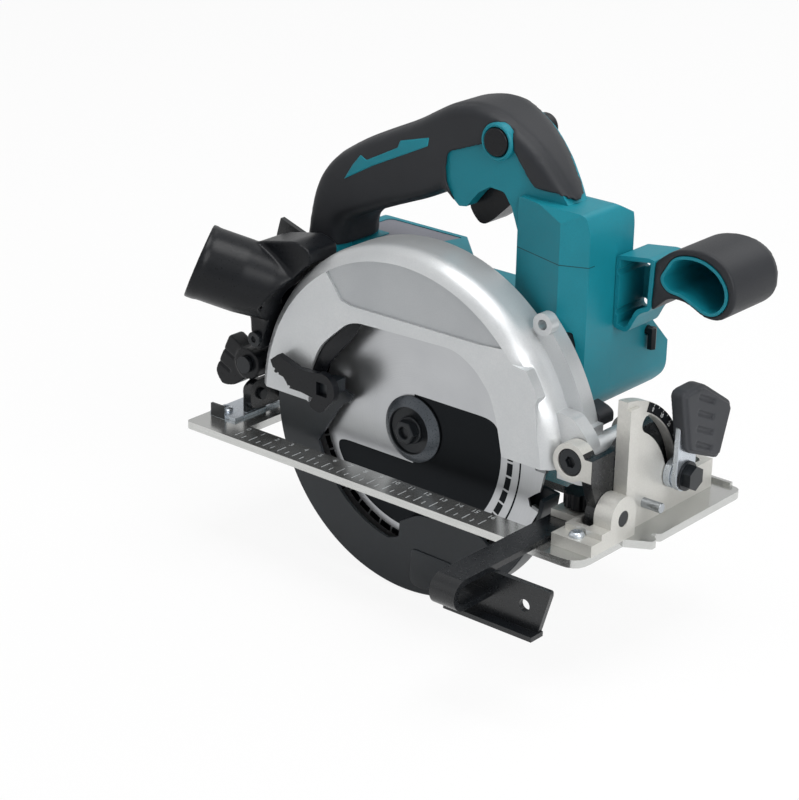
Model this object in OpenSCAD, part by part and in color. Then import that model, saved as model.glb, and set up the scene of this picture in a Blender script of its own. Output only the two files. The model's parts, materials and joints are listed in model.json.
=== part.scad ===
// Cordless circular saw, 165 mm blade.
// Frame: the blade axis crosses X = 0, +X is the cutting direction, the plate is centred on Y = 0
// with the motor at +Y, and the sole lies at Z = 0.

/* [Base plate] */
// Sole length behind the depth clamp
plate_tail = 20; // [19:1:30]
// Sole length in front of the depth hinge
plate_nose = 32.2; // [31:0.2:40]
// Sole width
plate_w = 124; // [115:1:140]
// Sole thickness
plate_t = 4; // [3:0.5:5]
// Room behind the upper guard in the blade opening
opening_back = 1.5; // [1:0.5:5]
// Room in front of the upper guard in the blade opening
opening_nose = 7.5; // [6:0.5:8]
// Side of the opening nearest the user's left, in Y
opening_y0 = -45; // [-48:1:-42]
// Side of the opening below the motor, in Y
opening_y1 = 5; // [3:1:10]

/* [Blade and spindle] */
// Blade radius at the tooth tips
blade_r = 82.5; // [80:0.5:84]
// Number of teeth
blade_teeth = 24; // [16:1:40]
// Blade body thickness
blade_t = 1.4; // [1:0.1:1.8]
// Tooth tip width
kerf = 2.0; // [1.9:0.1:2.4]
// Blade bore diameter
bore_d = 20; // [18:0.5:22]
// Blade centre plane, in Y
blade_y = -28.5; // [-29:0.1:-28]
// Height of the blade axis at full depth
arbor_z = 25.5; // [24:0.5:27]
// Flange radius
flange_r = 17.4; // [15:0.2:18]
// Spindle diameter
spindle_d = 12; // [10:0.5:13]
// Running clearance on shafts and bores
run_gap = 0.05; // [0.02:0.01:0.1]

/* [Lower guard] */
// From the tooth tips to the outside of the lower guard
guard_room = 4; // [3.5:0.1:5]
// Lower guard wall
lower_wall = 1.8; // [1.4:0.1:2.2]
// Outer face of the lower guard, in Y
lower_y0 = -35.2; // [-36:0.1:-34.5]
// Inner face of the lower guard, in Y
lower_y1 = -20.7; // [-21.5:0.1:-20.5]
// Radius of the boss that carries the lower guard
boss_r = 23; // [21:0.5:24]
// Opening angle
guard_swing = 150; // [120:5:155]

/* [Upper guard] */
// From the lower guard to the cavity wall
cavity_room = 3.5; // [2.5:0.1:4.5]
// Thickness of the rim
rim_t = 5.5; // [4.5:0.1:7]
// Outer face of the upper guard, in Y
upper_y0 = -42; // [-43:0.5:-41]
// Back face of the upper guard, in Y
upper_y1 = -15; // [-15.5:0.1:-14.5]
// Face and back wall thickness
upper_wall = 3; // [2.5:0.1:3.5]

/* [Tilting] */
// Bevel axis, in Y
bevel_y = -28; // [-29:0.5:-27]
// Bevel axis height
bevel_z = 15.5; // [15:0.5:17]
// Bevel range
bevel_max = 50; // [45:1:50]
// Radius of the bevel clamp bolt about the bevel axis
bevel_bolt_r = 46; // [45:0.5:47]
// Rest angle of the bevel clamp bolt
bevel_bolt_a = 11; // [9:1:14]
// From the upper guard to the depth hinge
hinge_room = 8.3; // [8:0.1:9]
// Depth hinge height
hinge_z = 41.5; // [41:0.5:43]
// Depth hinge pin diameter
hinge_d = 8; // [7:0.5:9]
// From the upper guard to the depth clamp stud
stud_room = 11.5; // [11:0.5:14]
// Depth clamp stud height
stud_z = 34; // [32:1:36]
// Depth hinge range
depth_max = 16; // [14:1:18]

/* [Drive] */
// Gear module
gear_m = 0.85; // [0.8:0.01:0.86]
// Spindle gear teeth
gear_n = 42; // [40:1:42]
// Pinion teeth
pinion_n = 9; // [9:1:11]
// Direction from the spindle to the motor axis
motor_a = 62; // [55:1:68]
// Motor stator radius
stator_r = 25; // [22:0.5:26]
// Rotor radius
rotor_r = 13; // [11:0.5:14]
// Far end of the motor housing, in Y
motor_end = 60; // [58:0.5:62]

/* [Housing] */
// Parting plane of the housing halves, in Y
seam_y = 13; // [12:0.5:14]
// Shell wall
wall = 2.5; // [2:0.1:3]
// Rubber thickness on the handle
rubber_t = 2.5; // [1.5:0.1:3]
// Half width of the main handle with its rubber
handle_half = 19; // [17:0.5:20]
// Left face of the front column, in Y
column_y0 = -14.7; // [-14.7:0.1:-12]
// Right face of the front column, in Y
column_y1 = 27; // [26:0.5:30]
// Front face of the housing, in X
front_x = 86.5; // [85:0.5:88]
// Top of the battery deck
deck_z = 97; // [95:0.5:99]
// Right side of the battery deck, in Y
deck_y1 = 56; // [54:0.5:58]
// Right side of the front box below the column, in Y
box_y1 = 62; // [60:0.5:64]

/* [Dust nozzle] */
// Nozzle outside diameter
nozzle_d = 38.5; // [36:0.5:40]
// Nozzle wall
nozzle_wall = 2; // [1.6:0.1:2.6]
// Length from the collar to the mouth
nozzle_len = 48; // [40:1:56]

/* [Rip fence] */
// Fence strip width
fence_w = 14.5; // [12:0.5:15]
// Fence strip thickness
fence_t = 3; // [2.5:0.1:3.5]
// Outer end of the fence strip, in Y
fence_out = -122; // [-135:1:-115]

/* [Hidden] */
$fn = 64;
face_gap = 0.3;
lower_r = blade_r + guard_room;
cavity_r = lower_r + cavity_room;
upper_r = cavity_r + rim_t;
hinge_x = upper_r + hinge_room;
stud_x = -(upper_r + stud_room);
plate_rear = plate_tail - stud_x;
plate_front = hinge_x + plate_nose;
opening_rear = upper_r + opening_back;
opening_front = upper_r + opening_nose;
plate_near = -plate_w / 2;
plate_far = plate_w / 2;
plate_step = plate_front - 10;
blade_y0 = blade_y - blade_t / 2;
blade_y1 = blade_y + blade_t / 2;
inner_flange_t = 3.6;
outer_flange_t = 4.2;
bolt_head_t = 4;
gear_y0 = -11.5;
gear_y1 = -3.5;
gear_gap = 0.12;
gear_r = gear_m * gear_n / 2;
pinion_r = gear_m * pinion_n / 2;
motor_dist = gear_r + pinion_r + gear_gap;
motor_x = motor_dist * cos(motor_a);
motor_z = arbor_z + motor_dist * sin(motor_a);
case_r = gear_r + gear_m + 2.2;
case_wall = 1.7;
case_y0 = upper_y1;
case_y1 = 8;
bearing_wall = 2.6;
front_bearing_r = 13;
rear_bearing_r = 8;
lock_y = -7;
lock_z = 28;
lock_r = 2.5;
motor_bearing_r = 6.5;
shaft_r = 2.5;
fan_r = 23.5;
fan_y = case_y1 + 3.6;
drum_r = stator_r + face_gap + 2 * wall;
drum_y0 = case_y1 + face_gap;
lug_r = 9.5;
cheek_y0 = -41;
cheek_y1 = -33;
far_cheek_y0 = 5.5;
far_cheek_y1 = 12;
quad_x0 = hinge_x + 13.2;
quad_x1 = quad_x0 + 5.5;
guide_x0 = quad_x0 - 6;
guide_x1 = quad_x0 - face_gap;
quad_r = 56;
strap_t = 2.8;
strap_x1 = quad_x1 + 8.3;
bevel_bolt_d = 8;
bolt_y = bevel_y + bevel_bolt_r * cos(bevel_bolt_a);
bolt_z = bevel_z + bevel_bolt_r * sin(bevel_bolt_a);
depth_r = norm([hinge_x - stud_x, hinge_z - stud_z]);
depth_a0 = atan2(hinge_z - stud_z, hinge_x - stud_x);
guide_y0 = -12.3;
guide_y1 = -9.3;
stud_d = 6;
fence_x0 = hinge_x - 16.5;
fence_x1 = fence_x0 + fence_w;
fence_z0 = plate_t;
fence_z1 = plate_t + fence_t;
knob_x = (fence_x0 + fence_x1) / 2 + 4.5;
knob_y = -24;
handle_y0 = seam_y - handle_half;
handle_y1 = seam_y + handle_half;
grip_end = 55;
bay_z = 86;
pivot_x = 30;
pivot_z = 148;
pin_r = 1.55;
switch_half = handle_half - rubber_t - wall;
button_x = 27.9;
button_z = 173.4;
screw_places = [[50, 104, column_y1], [78, 132, column_y1], [80, 56, box_y1], [-80, 122, 29.5],
    [-30, 156, 29.5], [-84, 91.5, deck_y1]];
lever_x = -44;
lever_z = 40;

// ---- outlines -------------------------------------------------------------------------------

function unit(v) = v / norm(v);

function xy(p) = [p.x, p.y];

// Corner b of a counter-clockwise outline, moved inwards by d.
function inset_corner(a, b, c, d) =
    let (u = unit(xy(b) - xy(a)), v = unit(xy(c) - xy(b)), n = [-u.y, u.x], m = [-v.y, v.x])
    xy(b) + (n + m) * d / (1 + n * m);

// Outline moved inwards by d; each point is [x, z, corner radius].
function inset(pts, d) = [
    for (i = [0 : len(pts) - 1])
        let (
            n = len(pts),
            b = inset_corner(pts[(i + n - 1) % n], pts[i], pts[(i + 1) % n], d)
        )
        [b.x, b.y, max(pts[i][2] - d, 0)]
];

// Outline with each corner rounded by its own radius.
function rounded(pts, steps = 5) = [
    for (i = [0 : len(pts) - 1])
        let (
            n = len(pts),
            b = xy(pts[i]),
            u = xy(pts[(i + n - 1) % n]) - b,
            v = xy(pts[(i + 1) % n]) - b,
            r = min(pts[i][2], norm(u) * 0.48, norm(v) * 0.48),
            p = b + unit(u) * r,
            q = b + unit(v) * r
        )
        each (r <= 0.01 ? [b] : [
            for (k = [0 : steps])
                let (s = k / steps)
                (1 - s) * (1 - s) * p + 2 * s * (1 - s) * b + s * s * q
        ])
];

// Extrudes an X-Z outline from y0 to y1.
module across(y0, y1) {
    translate([0, y1, 0]) rotate([90, 0, 0]) linear_extrude(y1 - y0) children();
}

// Extrudes a Y-Z outline from x0 to x1.
module along(x0, x1) {
    translate([x0, 0, 0]) rotate([90, 0, 90]) linear_extrude(x1 - x0) children();
}

// Cylinder along Y.
module rod_y(x, z, r, y0, y1) {
    translate([x, y0, z]) rotate([-90, 0, 0]) cylinder(r = r, h = y1 - y0);
}

// Cylinder along X.
module rod_x(y, z, r, x0, x1) {
    translate([x0, y, z]) rotate([0, 90, 0]) cylinder(r = r, h = x1 - x0);
}

// Cylinder along Z.
module rod_z(x, y, r, z0, z1) {
    translate([x, y, z0]) cylinder(r = r, h = z1 - z0);
}

// Box from one corner to the other.
module box(a, b) {
    translate(a) cube(b - a);
}

// Revolves a [radius, y] profile about the blade axis.
module about_blade() {
    translate([0, 0, arbor_z]) rotate([-90, 0, 0]) rotate_extrude($fn = 128) children();
}

// Ball bearing about an axis along Y.
module bearing(x, z, bore_r, outer_r, y0, y1) {
    difference() {
        rod_y(x, z, outer_r, y0, y1);
        rod_y(x, z, bore_r, y0 - 1, y1 + 1);
        difference() {
            rod_y(x, z, outer_r * 0.86, y0 - 1, y0 + 0.4);
            rod_y(x, z, (bore_r + outer_r) * 0.42, y0 - 1, y0 + 0.4);
        }
    }
}

// Sector outline about the origin from angle a0 to a1.
module sector(r, a0, a1) {
    polygon(concat([[0, 0]], [for (i = [0 : 24]) r * [cos(a0 + (a1 - a0) * i / 24), sin(a0 + (a1 - a0) * i / 24)]]));
}

// Spur gear outline with n teeth.
module gear_outline(n, m) {
    r = n * m / 2;
    step = 360 / n;
    polygon([
        for (i = [0 : n - 1])
            each [
                for (k = [[-0.34, -1.2], [-0.24, -0.1], [-0.12, 0.9], [0.12, 0.9], [0.24, -0.1], [0.34, -1.2]])
                    let (a = (i + k[0]) * step, q = r + k[1] * m)
                    [q * cos(a), q * sin(a)]
            ]
    ]);
}

// ---- base -----------------------------------------------------------------------------------

module base_plate() {
    outline = [
        [-plate_rear, plate_near, 3], [plate_step, plate_near, 10], [plate_step, bevel_y + 2, 0],
        [plate_front + 2, bevel_y + 9, 1], [plate_front + 2, bevel_y + 13, 2], [plate_step + 7, bevel_y + 15, 0],
        [plate_step + 7, bevel_y + 17, 0], [plate_front, bevel_y + 19, 1], [plate_front, plate_far, 6],
        [-plate_rear, plate_far, 3]
    ];
    color("silver") difference() {
        union() {
            linear_extrude(plate_t) polygon(rounded(outline));
            box([-plate_rear + 3, plate_far - 2, plate_t - 1], [plate_front - 6, plate_far, plate_t + 2]);
        }
        box([-opening_rear, opening_y0, -1], [opening_front, opening_y1, plate_t + 1]);
        for (p = plate_screw_places) rod_z(p.x, p.y, 2.1, -1, plate_t + 1);
    }
}

plate_screw_places = [
    [hinge_x + 11.2, plate_near + 14], [hinge_x + 11.2, 46], [hinge_x + 6.2, 30], [-plate_rear + 8, bevel_y - 12], [-plate_rear + 8, bevel_y + 12]
];

module plate_screws() {
    color("dimgray") for (p = plate_screw_places) {
        head_z = p.x > 0 ? (p.y < 0 ? 10 : 9) : plate_t + 1.6;
        difference() {
            union() {
                rod_z(p.x, p.y, 2, 0.5, head_z);
                rod_z(p.x, p.y, 3.8, head_z, head_z + 2.4);
            }
            rod_z(p.x, p.y, 1.6, head_z + 1, head_z + 3, $fn = 6);
        }
    }
}

module front_bracket() {
    post_y0 = bevel_y + 5;
    post_y1 = post_y0 + 15;
    foot_end = 54;
    slot_w = bevel_bolt_d / 2 + 0.4;
    color("gainsboro") difference() {
        union() {
            // quadrant plate with its post and far foot
            along(quad_x0, quad_x1) difference() {
                union() {
                    intersection() {
                        translate([bevel_y, bevel_z]) circle(r = quad_r);
                        translate([post_y0, plate_t]) square([quad_r + 10, quad_r + 20]);
                    }
                    translate([bevel_y - 7, plate_t]) square([foot_end - bevel_y + 7, 15]);
                }
                translate([bevel_y, bevel_z]) difference() {
                    sector(bevel_bolt_r + slot_w, bevel_bolt_a - 1, bevel_bolt_a + bevel_max + 1);
                    circle(r = bevel_bolt_r - slot_w);
                }
            }
            box([quad_x0, post_y0, plate_t], [quad_x1, post_y1, bevel_z + quad_r - 4]);
            box([quad_x0, post_y0, plate_t], [quad_x1 + 2, post_y0 + 7.5, bevel_z + quad_r - 4]);
            // arch boss around the bevel pin
            rod_x(bevel_y, bevel_z + 1, 10, quad_x0, quad_x1 + 4.5);
            box([quad_x0, bevel_y - 10, plate_t], [quad_x1 + 4.5, bevel_y + 10, bevel_z + 1]);
            // near block, stepped
            box([hinge_x + 0.2, bevel_y - 25, plate_t], [quad_x1 + 4.5, bevel_y - 2, 10]);
            box([hinge_x + 2.2, bevel_y - 17, plate_t], [quad_x1 + 4.5, bevel_y - 2, 13]);
            // feet behind the quadrant plate
            box([hinge_x + 0.2, 26, plate_t], [quad_x0 + 1, foot_end, 9]);
            box([hinge_x + 6.2, 40, plate_t], [quad_x0 + 1, foot_end, 19]);
            // bridge over the fence strip
            box([fence_x0 - 1, -4, plate_t], [guide_x0 - face_gap, 30, fence_z1 + 4]);
            box([fence_x0 + 1.5, knob_y - 9, plate_t], [guide_x0 - 2.6, knob_y + 9, fence_z1 + 4]);
        }
        // channel for the fence strip
        box([fence_x0 - run_gap * 4, -70, -1], [fence_x1 + run_gap * 4, 70, fence_z1 + run_gap * 4]);
        rod_x(bevel_y, bevel_z, hinge_d / 2 + run_gap, hinge_x, quad_x1 + 20);
        translate([0, bevel_y, bevel_z]) rotate([bevel_bolt_a, 0, 0])
            rod_x(bevel_bolt_r, 0, bevel_bolt_d / 2 + 0.4, hinge_x, quad_x1 + 20);
        translate([0, bevel_y, bevel_z]) rotate([bevel_bolt_a + bevel_max, 0, 0])
            rod_x(bevel_bolt_r, 0, bevel_bolt_d / 2 + 0.4, hinge_x, quad_x1 + 20);
        for (p = plate_screw_places) rod_z(p.x, p.y, 2.1, -1, 30);
        for (p = plate_screw_places) if (p.x > 0)
            rod_z(p.x, p.y, 4.2, p.y < 0 ? 10 : 9, 40);
        rod_x(-5, 15, 2.5 + run_gap, quad_x1 - 3.5, quad_x1 + 20);
        rod_z(knob_x, knob_y, 2.5 + run_gap, 0, 30);
        // room for the swinging casting behind the arch boss
        translate([0, bevel_y, bevel_z]) rod_x(0, 0, 13, guide_x0 - 2.6, quad_x0 - 0.01);
    }
}

module front_bevel_pin() {
    color("silver") union() {
        rod_x(bevel_y, bevel_z, hinge_d / 2, guide_x0 - 2, quad_x1 + 4.3);
        rod_x(bevel_y, bevel_z, hinge_d / 2 + 1.5, guide_x0 - 2.2, guide_x0 - face_gap);
    }
}

module stop_pin() {
    color("silver") rod_x(-5, 15, 2.5, quad_x1 - 3.3, quad_x1 + 10.5);
}

module rear_bracket() {
    back = -plate_rear + 2;
    ear_r = 7.5;
    color("lightgray") difference() {
        union() {
            box([back, bevel_y - 18, plate_t], [back + 18, bevel_y + 18, plate_t + 1.6]);
            rod_x(bevel_y, bevel_z, ear_r, back + 14, back + 16.4);
            box([back + 14, bevel_y - ear_r, plate_t], [back + 16.4, bevel_y + ear_r, bevel_z]);
            // folded tabs at the near edge
            box([back + 2, bevel_y - 19.6, plate_t], [back + 12, bevel_y - 18, plate_t + 7]);
        }
        rod_x(bevel_y, bevel_z, 3 + run_gap, back, back + 30);
        for (p = plate_screw_places) rod_z(p.x, p.y, 2.1, 0, 9);
    }
}

module rear_bevel_pin() {
    back = -plate_rear + 2;
    color("silver") union() {
        rod_x(bevel_y, bevel_z, 3, back + 9.5, back + 22);
        rod_x(bevel_y, bevel_z, 5.2, back + 11.5, back + 14);
    }
}

// ---- tilting frame --------------------------------------------------------------------------

module angular_guide() {
    arm_z0 = hinge_z - lug_r;
    color("gainsboro") difference() {
        union() {
            // plate that swings behind the quadrant
            along(guide_x0, guide_x1) union() {
                translate([bevel_y, bevel_z]) circle(r = 9);
                polygon(rounded([
                    [bevel_y - 4, bevel_z - 8, 2], [bevel_y + 28, bevel_z - 4, 3],
                    [bolt_y + 8, bolt_z - 8, 4], [bolt_y + 9, bolt_z + 6, 4], [far_cheek_y1 + 2, hinge_z + lug_r, 4],
                    [bevel_y + 12, hinge_z + lug_r, 3], [cheek_y1 + 10, hinge_z + 4, 3], [cheek_y0, hinge_z + 4, 2],
                    [cheek_y0, arm_z0 + 2, 3], [bevel_y - 8, bevel_z + 6, 3]
                ]));
            }
            // ring cheek on the near side
            rod_y(hinge_x, hinge_z, lug_r, cheek_y0, cheek_y1);
            box([hinge_x, cheek_y0, arm_z0 + 2], [guide_x1, cheek_y1, hinge_z + 4]);
            // cheek on the motor side
            rod_y(hinge_x, hinge_z, lug_r, far_cheek_y0, far_cheek_y1);
            box([hinge_x, far_cheek_y0, hinge_z - lug_r], [guide_x1, far_cheek_y1, hinge_z + lug_r]);
        }
        rod_y(hinge_x, hinge_z, hinge_d / 2 + run_gap, -60, 40);
        rod_y(hinge_x, hinge_z, 6.8, cheek_y0 - 1, cheek_y0 + 4.5);
        rod_x(bevel_y, bevel_z, hinge_d / 2 + run_gap, guide_x0 - 20, quad_x1 + 20);
        rod_x(bolt_y, bolt_z, bevel_bolt_d / 2 + run_gap, guide_x0 - 20, quad_x1 + 20);
        box([guide_x0 - 1, cheek_y1 + face_gap, hinge_z - 12], [guide_x0 + 2, far_cheek_y0 - face_gap, hinge_z + 12]);
    }
}

module depth_hinge_pin() {
    color("#22262B") difference() {
        union() {
            rod_y(hinge_x, hinge_z, hinge_d / 2, cheek_y0 + 1, far_cheek_y1 + 2);
            rod_y(hinge_x, hinge_z, 6.4, cheek_y0 + 0.5, cheek_y0 + 4.4);
        }
        rod_y(hinge_x, hinge_z, 2.9, cheek_y0, cheek_y0 + 3, $fn = 6);
    }
}

module bevel_clamp_bolt() {
    color("#22262B") union() {
        rod_x(bolt_y, bolt_z, bevel_bolt_d / 2, guide_x0 - 4, strap_x1 + 2.2);
        rod_x(bolt_y, bolt_z, 7.6, guide_x0 - 4, guide_x0 - face_gap);
        rod_x(bolt_y, bolt_z, 7.4, strap_x1 + 0.2, strap_x1 + 1.6);
        rod_x(bolt_y, bolt_z, 6.4, strap_x1 + 1.6, strap_x1 + 6.2, $fn = 6);
    }
}

module bevel_lever_strap() {
    color("silver") difference() {
        union() {
            rod_x(bolt_y, bolt_z, 7.8, quad_x1 + face_gap, quad_x1 + 4);
            rod_x(bolt_y, bolt_z, 8, strap_x1 - strap_t, strap_x1);
            along(strap_x1 - strap_t, strap_x1) polygon(rounded([
                [bolt_y - 8, bolt_z, 0], [bolt_y + 8, bolt_z, 0], [bolt_y + 8, bolt_z + 30, 3],
                [bolt_y - 7, bolt_z + 36, 3]
            ]));
            rod_x(bolt_y, bolt_z, 6.5, quad_x1 + 3, strap_x1 - 1.8);
        }
        rod_x(bolt_y, bolt_z, bevel_bolt_d / 2 + run_gap, quad_x0, quad_x1 + 20);
    }
}

module bevel_lever_grip() {
    outline = [
        [bolt_y - 5, bolt_z + 14, 4], [bolt_y + 24, bolt_z + 2, 4], [bolt_y + 33, bolt_z + 29, 5],
        [bolt_y + 5, bolt_z + 47, 5], [bolt_y - 12, bolt_z + 46, 4]
    ];
    color("#3A3C40") difference() {
        union() {
            along(strap_x1 - 4.3, strap_x1 + 2.7) polygon(rounded(outline));
            along(strap_x1 + 2.6, strap_x1 + 4.2) polygon(rounded(inset(outline, 2)));
        }
        along(strap_x1 - strap_t - 0.1, strap_x1 + 0.1) polygon(rounded([
            [bolt_y - 8.1, bolt_z - 1, 0], [bolt_y + 8.1, bolt_z - 1, 0], [bolt_y + 8.1, bolt_z + 30.1, 3],
            [bolt_y - 7.1, bolt_z + 36.1, 3]
        ]));
        rod_x(bolt_y, bolt_z, 10, quad_x0, quad_x1 + 20);
        for (k = [0 : 3]) translate([strap_x1 + 3.6, bolt_y + 8, bolt_z + 14 + 8 * k]) rotate([-25, 0, 0])
            cube([1.4, 16, 2.6], center = true);
    }
}

module depth_guide() {
    top_a = depth_a0 - depth_max - 3.6;
    low_a = depth_a0 + 4;
    half = stud_d / 2 + 0.4;
    foot_x = -plate_rear + 19;
    color("#22262B") difference() {
        union() {
            across(guide_y0, guide_y1) difference() {
                union() {
                    translate([hinge_x, hinge_z]) difference() {
                        sector(depth_r + 9, 180 + top_a, 180 + low_a + 3);
                        circle(r = depth_r - 9, $fn = 128);
                    }
                    polygon([
                        [foot_x, bevel_z - 8], [foot_x + 3, bevel_z - 8], [foot_x + 20, bevel_z + 8],
                        [foot_x + 12, bevel_z + 14], [foot_x, bevel_z + 8]
                    ]);
                }
                translate([hinge_x, hinge_z]) difference() {
                    sector(depth_r + half, 180 + depth_a0 - depth_max - 1.3, 180 + depth_a0 + 1.3);
                    circle(r = depth_r - half, $fn = 128);
                }
            }
            // foot that turns on the rear bevel pin
            along(foot_x, foot_x + 3) polygon(rounded([
                [bevel_y - 8, bevel_z - 8, 6], [guide_y1, bevel_z - 8, 0], [guide_y1, bevel_z + 8, 0],
                [bevel_y - 8, bevel_z + 8, 6]
            ]));
        }
        rod_x(bevel_y, bevel_z, 3 + run_gap, foot_x - 10, foot_x + 30);
    }
}

module depth_lever() {
    color("#22262B") difference() {
        union() {
            rod_y(stud_x, stud_z, 8.5, -37, -23);
            across(-36, -27) polygon(rounded([
                [stud_x - 4, stud_z + 8, 0], [stud_x - 13, stud_z + 13.5, 3], [stud_x - 24, stud_z - 10, 3],
                [stud_x - 19, stud_z - 17, 3], [stud_x - 10, stud_z - 15, 3], [stud_x - 1, stud_z - 8, 0]
            ]));
        }
        rod_y(stud_x, stud_z, stud_d / 2 + run_gap, -50, 0);
        for (k = [0, 1]) translate([stud_x - 16 - 3 * k, -36, stud_z + 3 - 8 * k]) rotate([0, 25, 0])
            cube([14, 1.6, 1.6], center = true);
    }
}

module depth_stud() {
    color("silver") union() {
        rod_y(stud_x, stud_z, stud_d / 2, -38, guide_y1 + 5);
        rod_y(stud_x, stud_z, 6, upper_y1 + face_gap, guide_y0 - face_gap);
        rod_y(stud_x, stud_z, 5.5, guide_y1 + face_gap, guide_y1 + 4.3, $fn = 6);
        rod_y(stud_x, stud_z, 4.6, -39.5, -37.2);
    }
}

// ---- rip fence ------------------------------------------------------------------------------

module rip_fence() {
    rail_y = -95;
    rail_x = fence_x0 - 8.3;
    drop = 12.5;
    r = drop / 2 + fence_t / 2;
    color("#17191C") difference() {
        union() {
            box([fence_x0, fence_out + r, fence_z0], [fence_x1, 17, fence_z1]);
            // U bend at the outer end
            along(fence_x0, fence_x1) translate([fence_out + r, fence_z1 - r]) difference() {
                circle(r = r);
                circle(r = r - fence_t);
                translate([0, -2 * r]) square([2 * r, 4 * r]);
            }
            box([fence_x0, fence_out + r - 0.01, fence_z1 - 2 * r], [fence_x1, rail_y + 3, fence_z1 - 2 * r + fence_t]);
            // guide rail
            across(rail_y, rail_y + 3) polygon(rounded([
                [rail_x, -18.5, 1], [rail_x + 50, -18.5, 1], [rail_x + 56, 2, 0], [rail_x + 56, 4.5, 5],
                [rail_x + 24, 4.5, 1], [rail_x, -3, 1]
            ]));
            box([rail_x, rail_y - 6, -20], [rail_x + 51, rail_y + 3, -17.5]);
            box([rail_x + 5, rail_y - 1, -18], [rail_x + 7, rail_y + 0.1, -6]);
        }
        rod_y(rail_x + 42, -6.5, 3, rail_y - 5, rail_y + 5);
    }
}

module fence_knob() {
    top = fence_z1 + 4;
    color("#22262B") union() {
        rod_z(knob_x, knob_y, 2.5, fence_z1 + face_gap, top + 1);
        rod_z(knob_x, knob_y, 5, top + face_gap, top + 2);
        difference() {
            rod_z(knob_x, knob_y, 8, top + 2, top + 9.5);
            for (a = [0 : 45 : 359]) rod_z(knob_x + 8.6 * cos(a), knob_y + 8.6 * sin(a), 1.6, top, top + 11);
        }
    }
}

// ---- guards ---------------------------------------------------------------------------------

window_outline = [
    [-60, -20, 0], [-58.7, 43.7, 6], [-51.4, 60.1, 6], [-31.7, 77.9, 8], [34.8, 79.8, 10], [47.3, 72.9, 5],
    [56.7, 62.8, 5], [61.5, 48.8, 5], [64.6, 34.2, 0], [64.6, -20, 0]
];

function reversed(pts) = [for (i = [len(pts) - 1 : -1 : 0]) pts[i]];

module upper_guard() {
    rear_z = 28;
    front_z = 33.3;
    back = upper_y1;
    ear_x = (upper_r + 8) * cos(44.5);
    ear_z = arbor_z + (upper_r + 8) * sin(44.5);
    color("#C5C8C9") difference() {
        union() {
            intersection() {
                about_blade() polygon([
                    [24, back], [24, back - upper_wall - 1], [cavity_r, back - upper_wall - 1],
                    [cavity_r, upper_y0 + 6.5], [cavity_r - 3, upper_y0 + upper_wall], [40, upper_y0 + upper_wall],
                    [40, upper_y0], [upper_r - 7.3, upper_y0], [upper_r - 3.6, upper_y0 + 2.6],
                    [upper_r - 1, upper_y0 + 7], [upper_r, upper_y0 + 12], [upper_r, back]
                ]);
                across(-60, 0) polygon([
                    [-110, rear_z], [-60, rear_z], [-20, arbor_z - boss_r - 3], [20, arbor_z - boss_r - 3],
                    [60, front_z], [110, front_z], [110, 140], [-110, 140]
                ]);
            }
            // front panel, which stands out over the rounded rim
            across(upper_y0, upper_y0 + 6) intersection() {
                translate([0, arbor_z]) difference() {
                    circle(r = upper_r - 0.6);
                    circle(r = upper_r - 12);
                }
                polygon([[60, 34], [86.9, 34], [83.3, 65], [85.9, 70.8], [78.5, 80.1], [69, 81.3], [60, 70]]);
            }
            // back flange at the front, with the lug of the work light
            across(-24, back) intersection() {
                translate([0, arbor_z]) difference() {
                    sector(upper_r + 9, 4, 46);
                    circle(r = cavity_r + 1);
                }
                translate([0, front_z - 6]) square(200);
            }
            rod_y(ear_x, ear_z, 5.6, -26, -20.5);
            // hinge ear and barrel
            across(-32.5, -24) difference() {
                polygon(rounded([[hinge_x - 15.8, 27, 2], [hinge_x + 5, 27, 6], [hinge_x + 6.4, hinge_z, 3],
                    [hinge_x + 4, hinge_z + 9, 4], [hinge_x - 5.8, 60, 3], [hinge_x - 15.8, 60, 1]]));
                translate([0, arbor_z]) circle(r = cavity_r + 1);
            }
            rod_y(hinge_x, hinge_z, 6.6, -32.5, far_cheek_y0 - face_gap);
            box([hinge_x - 11.8, -24, hinge_z - 2], [hinge_x, back, hinge_z + 12]);
            // rear lug of the depth clamp
            across(-19, back) polygon(rounded([[stud_x + 27, rear_z, 0], [stud_x + 27, 62, 0], [stud_x - 8, stud_z + 9, 8],
                [stud_x - 8, stud_z - 8, 8], [stud_x + 4, stud_z - 8, 3], [stud_x + 15, rear_z, 0]]));
        }
        across(-60, -30) polygon(rounded(reversed(window_outline)));
        // sunk name panel, bare
        across(upper_y0 - 1, upper_y0 + 1.2) intersection() {
            translate([0, arbor_z]) circle(r = upper_r - 7.3);
            polygon([[-53.8, 107], [-38.4, 87.2], [-31.8, 85.7], [49.7, 86.2], [64.6, 87.6], [64.6, 130],
                [-53.8, 130]]);
        }
        // bore for the bearing box
        rod_y(0, arbor_z, boss_r + 0.01, -60, 0);
        rod_y(hinge_x, hinge_z, hinge_d / 2 + run_gap, -60, 40);
        rod_y(stud_x, stud_z, stud_d / 2 + 0.02, -60, 0);
        rod_y(ear_x, ear_z, 2.6, -40, -18);
        // outlet into the dust nozzle
        outlet_bore(40);
    }
}

lower_a0 = -8;
lower_a1 = -195;

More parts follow.
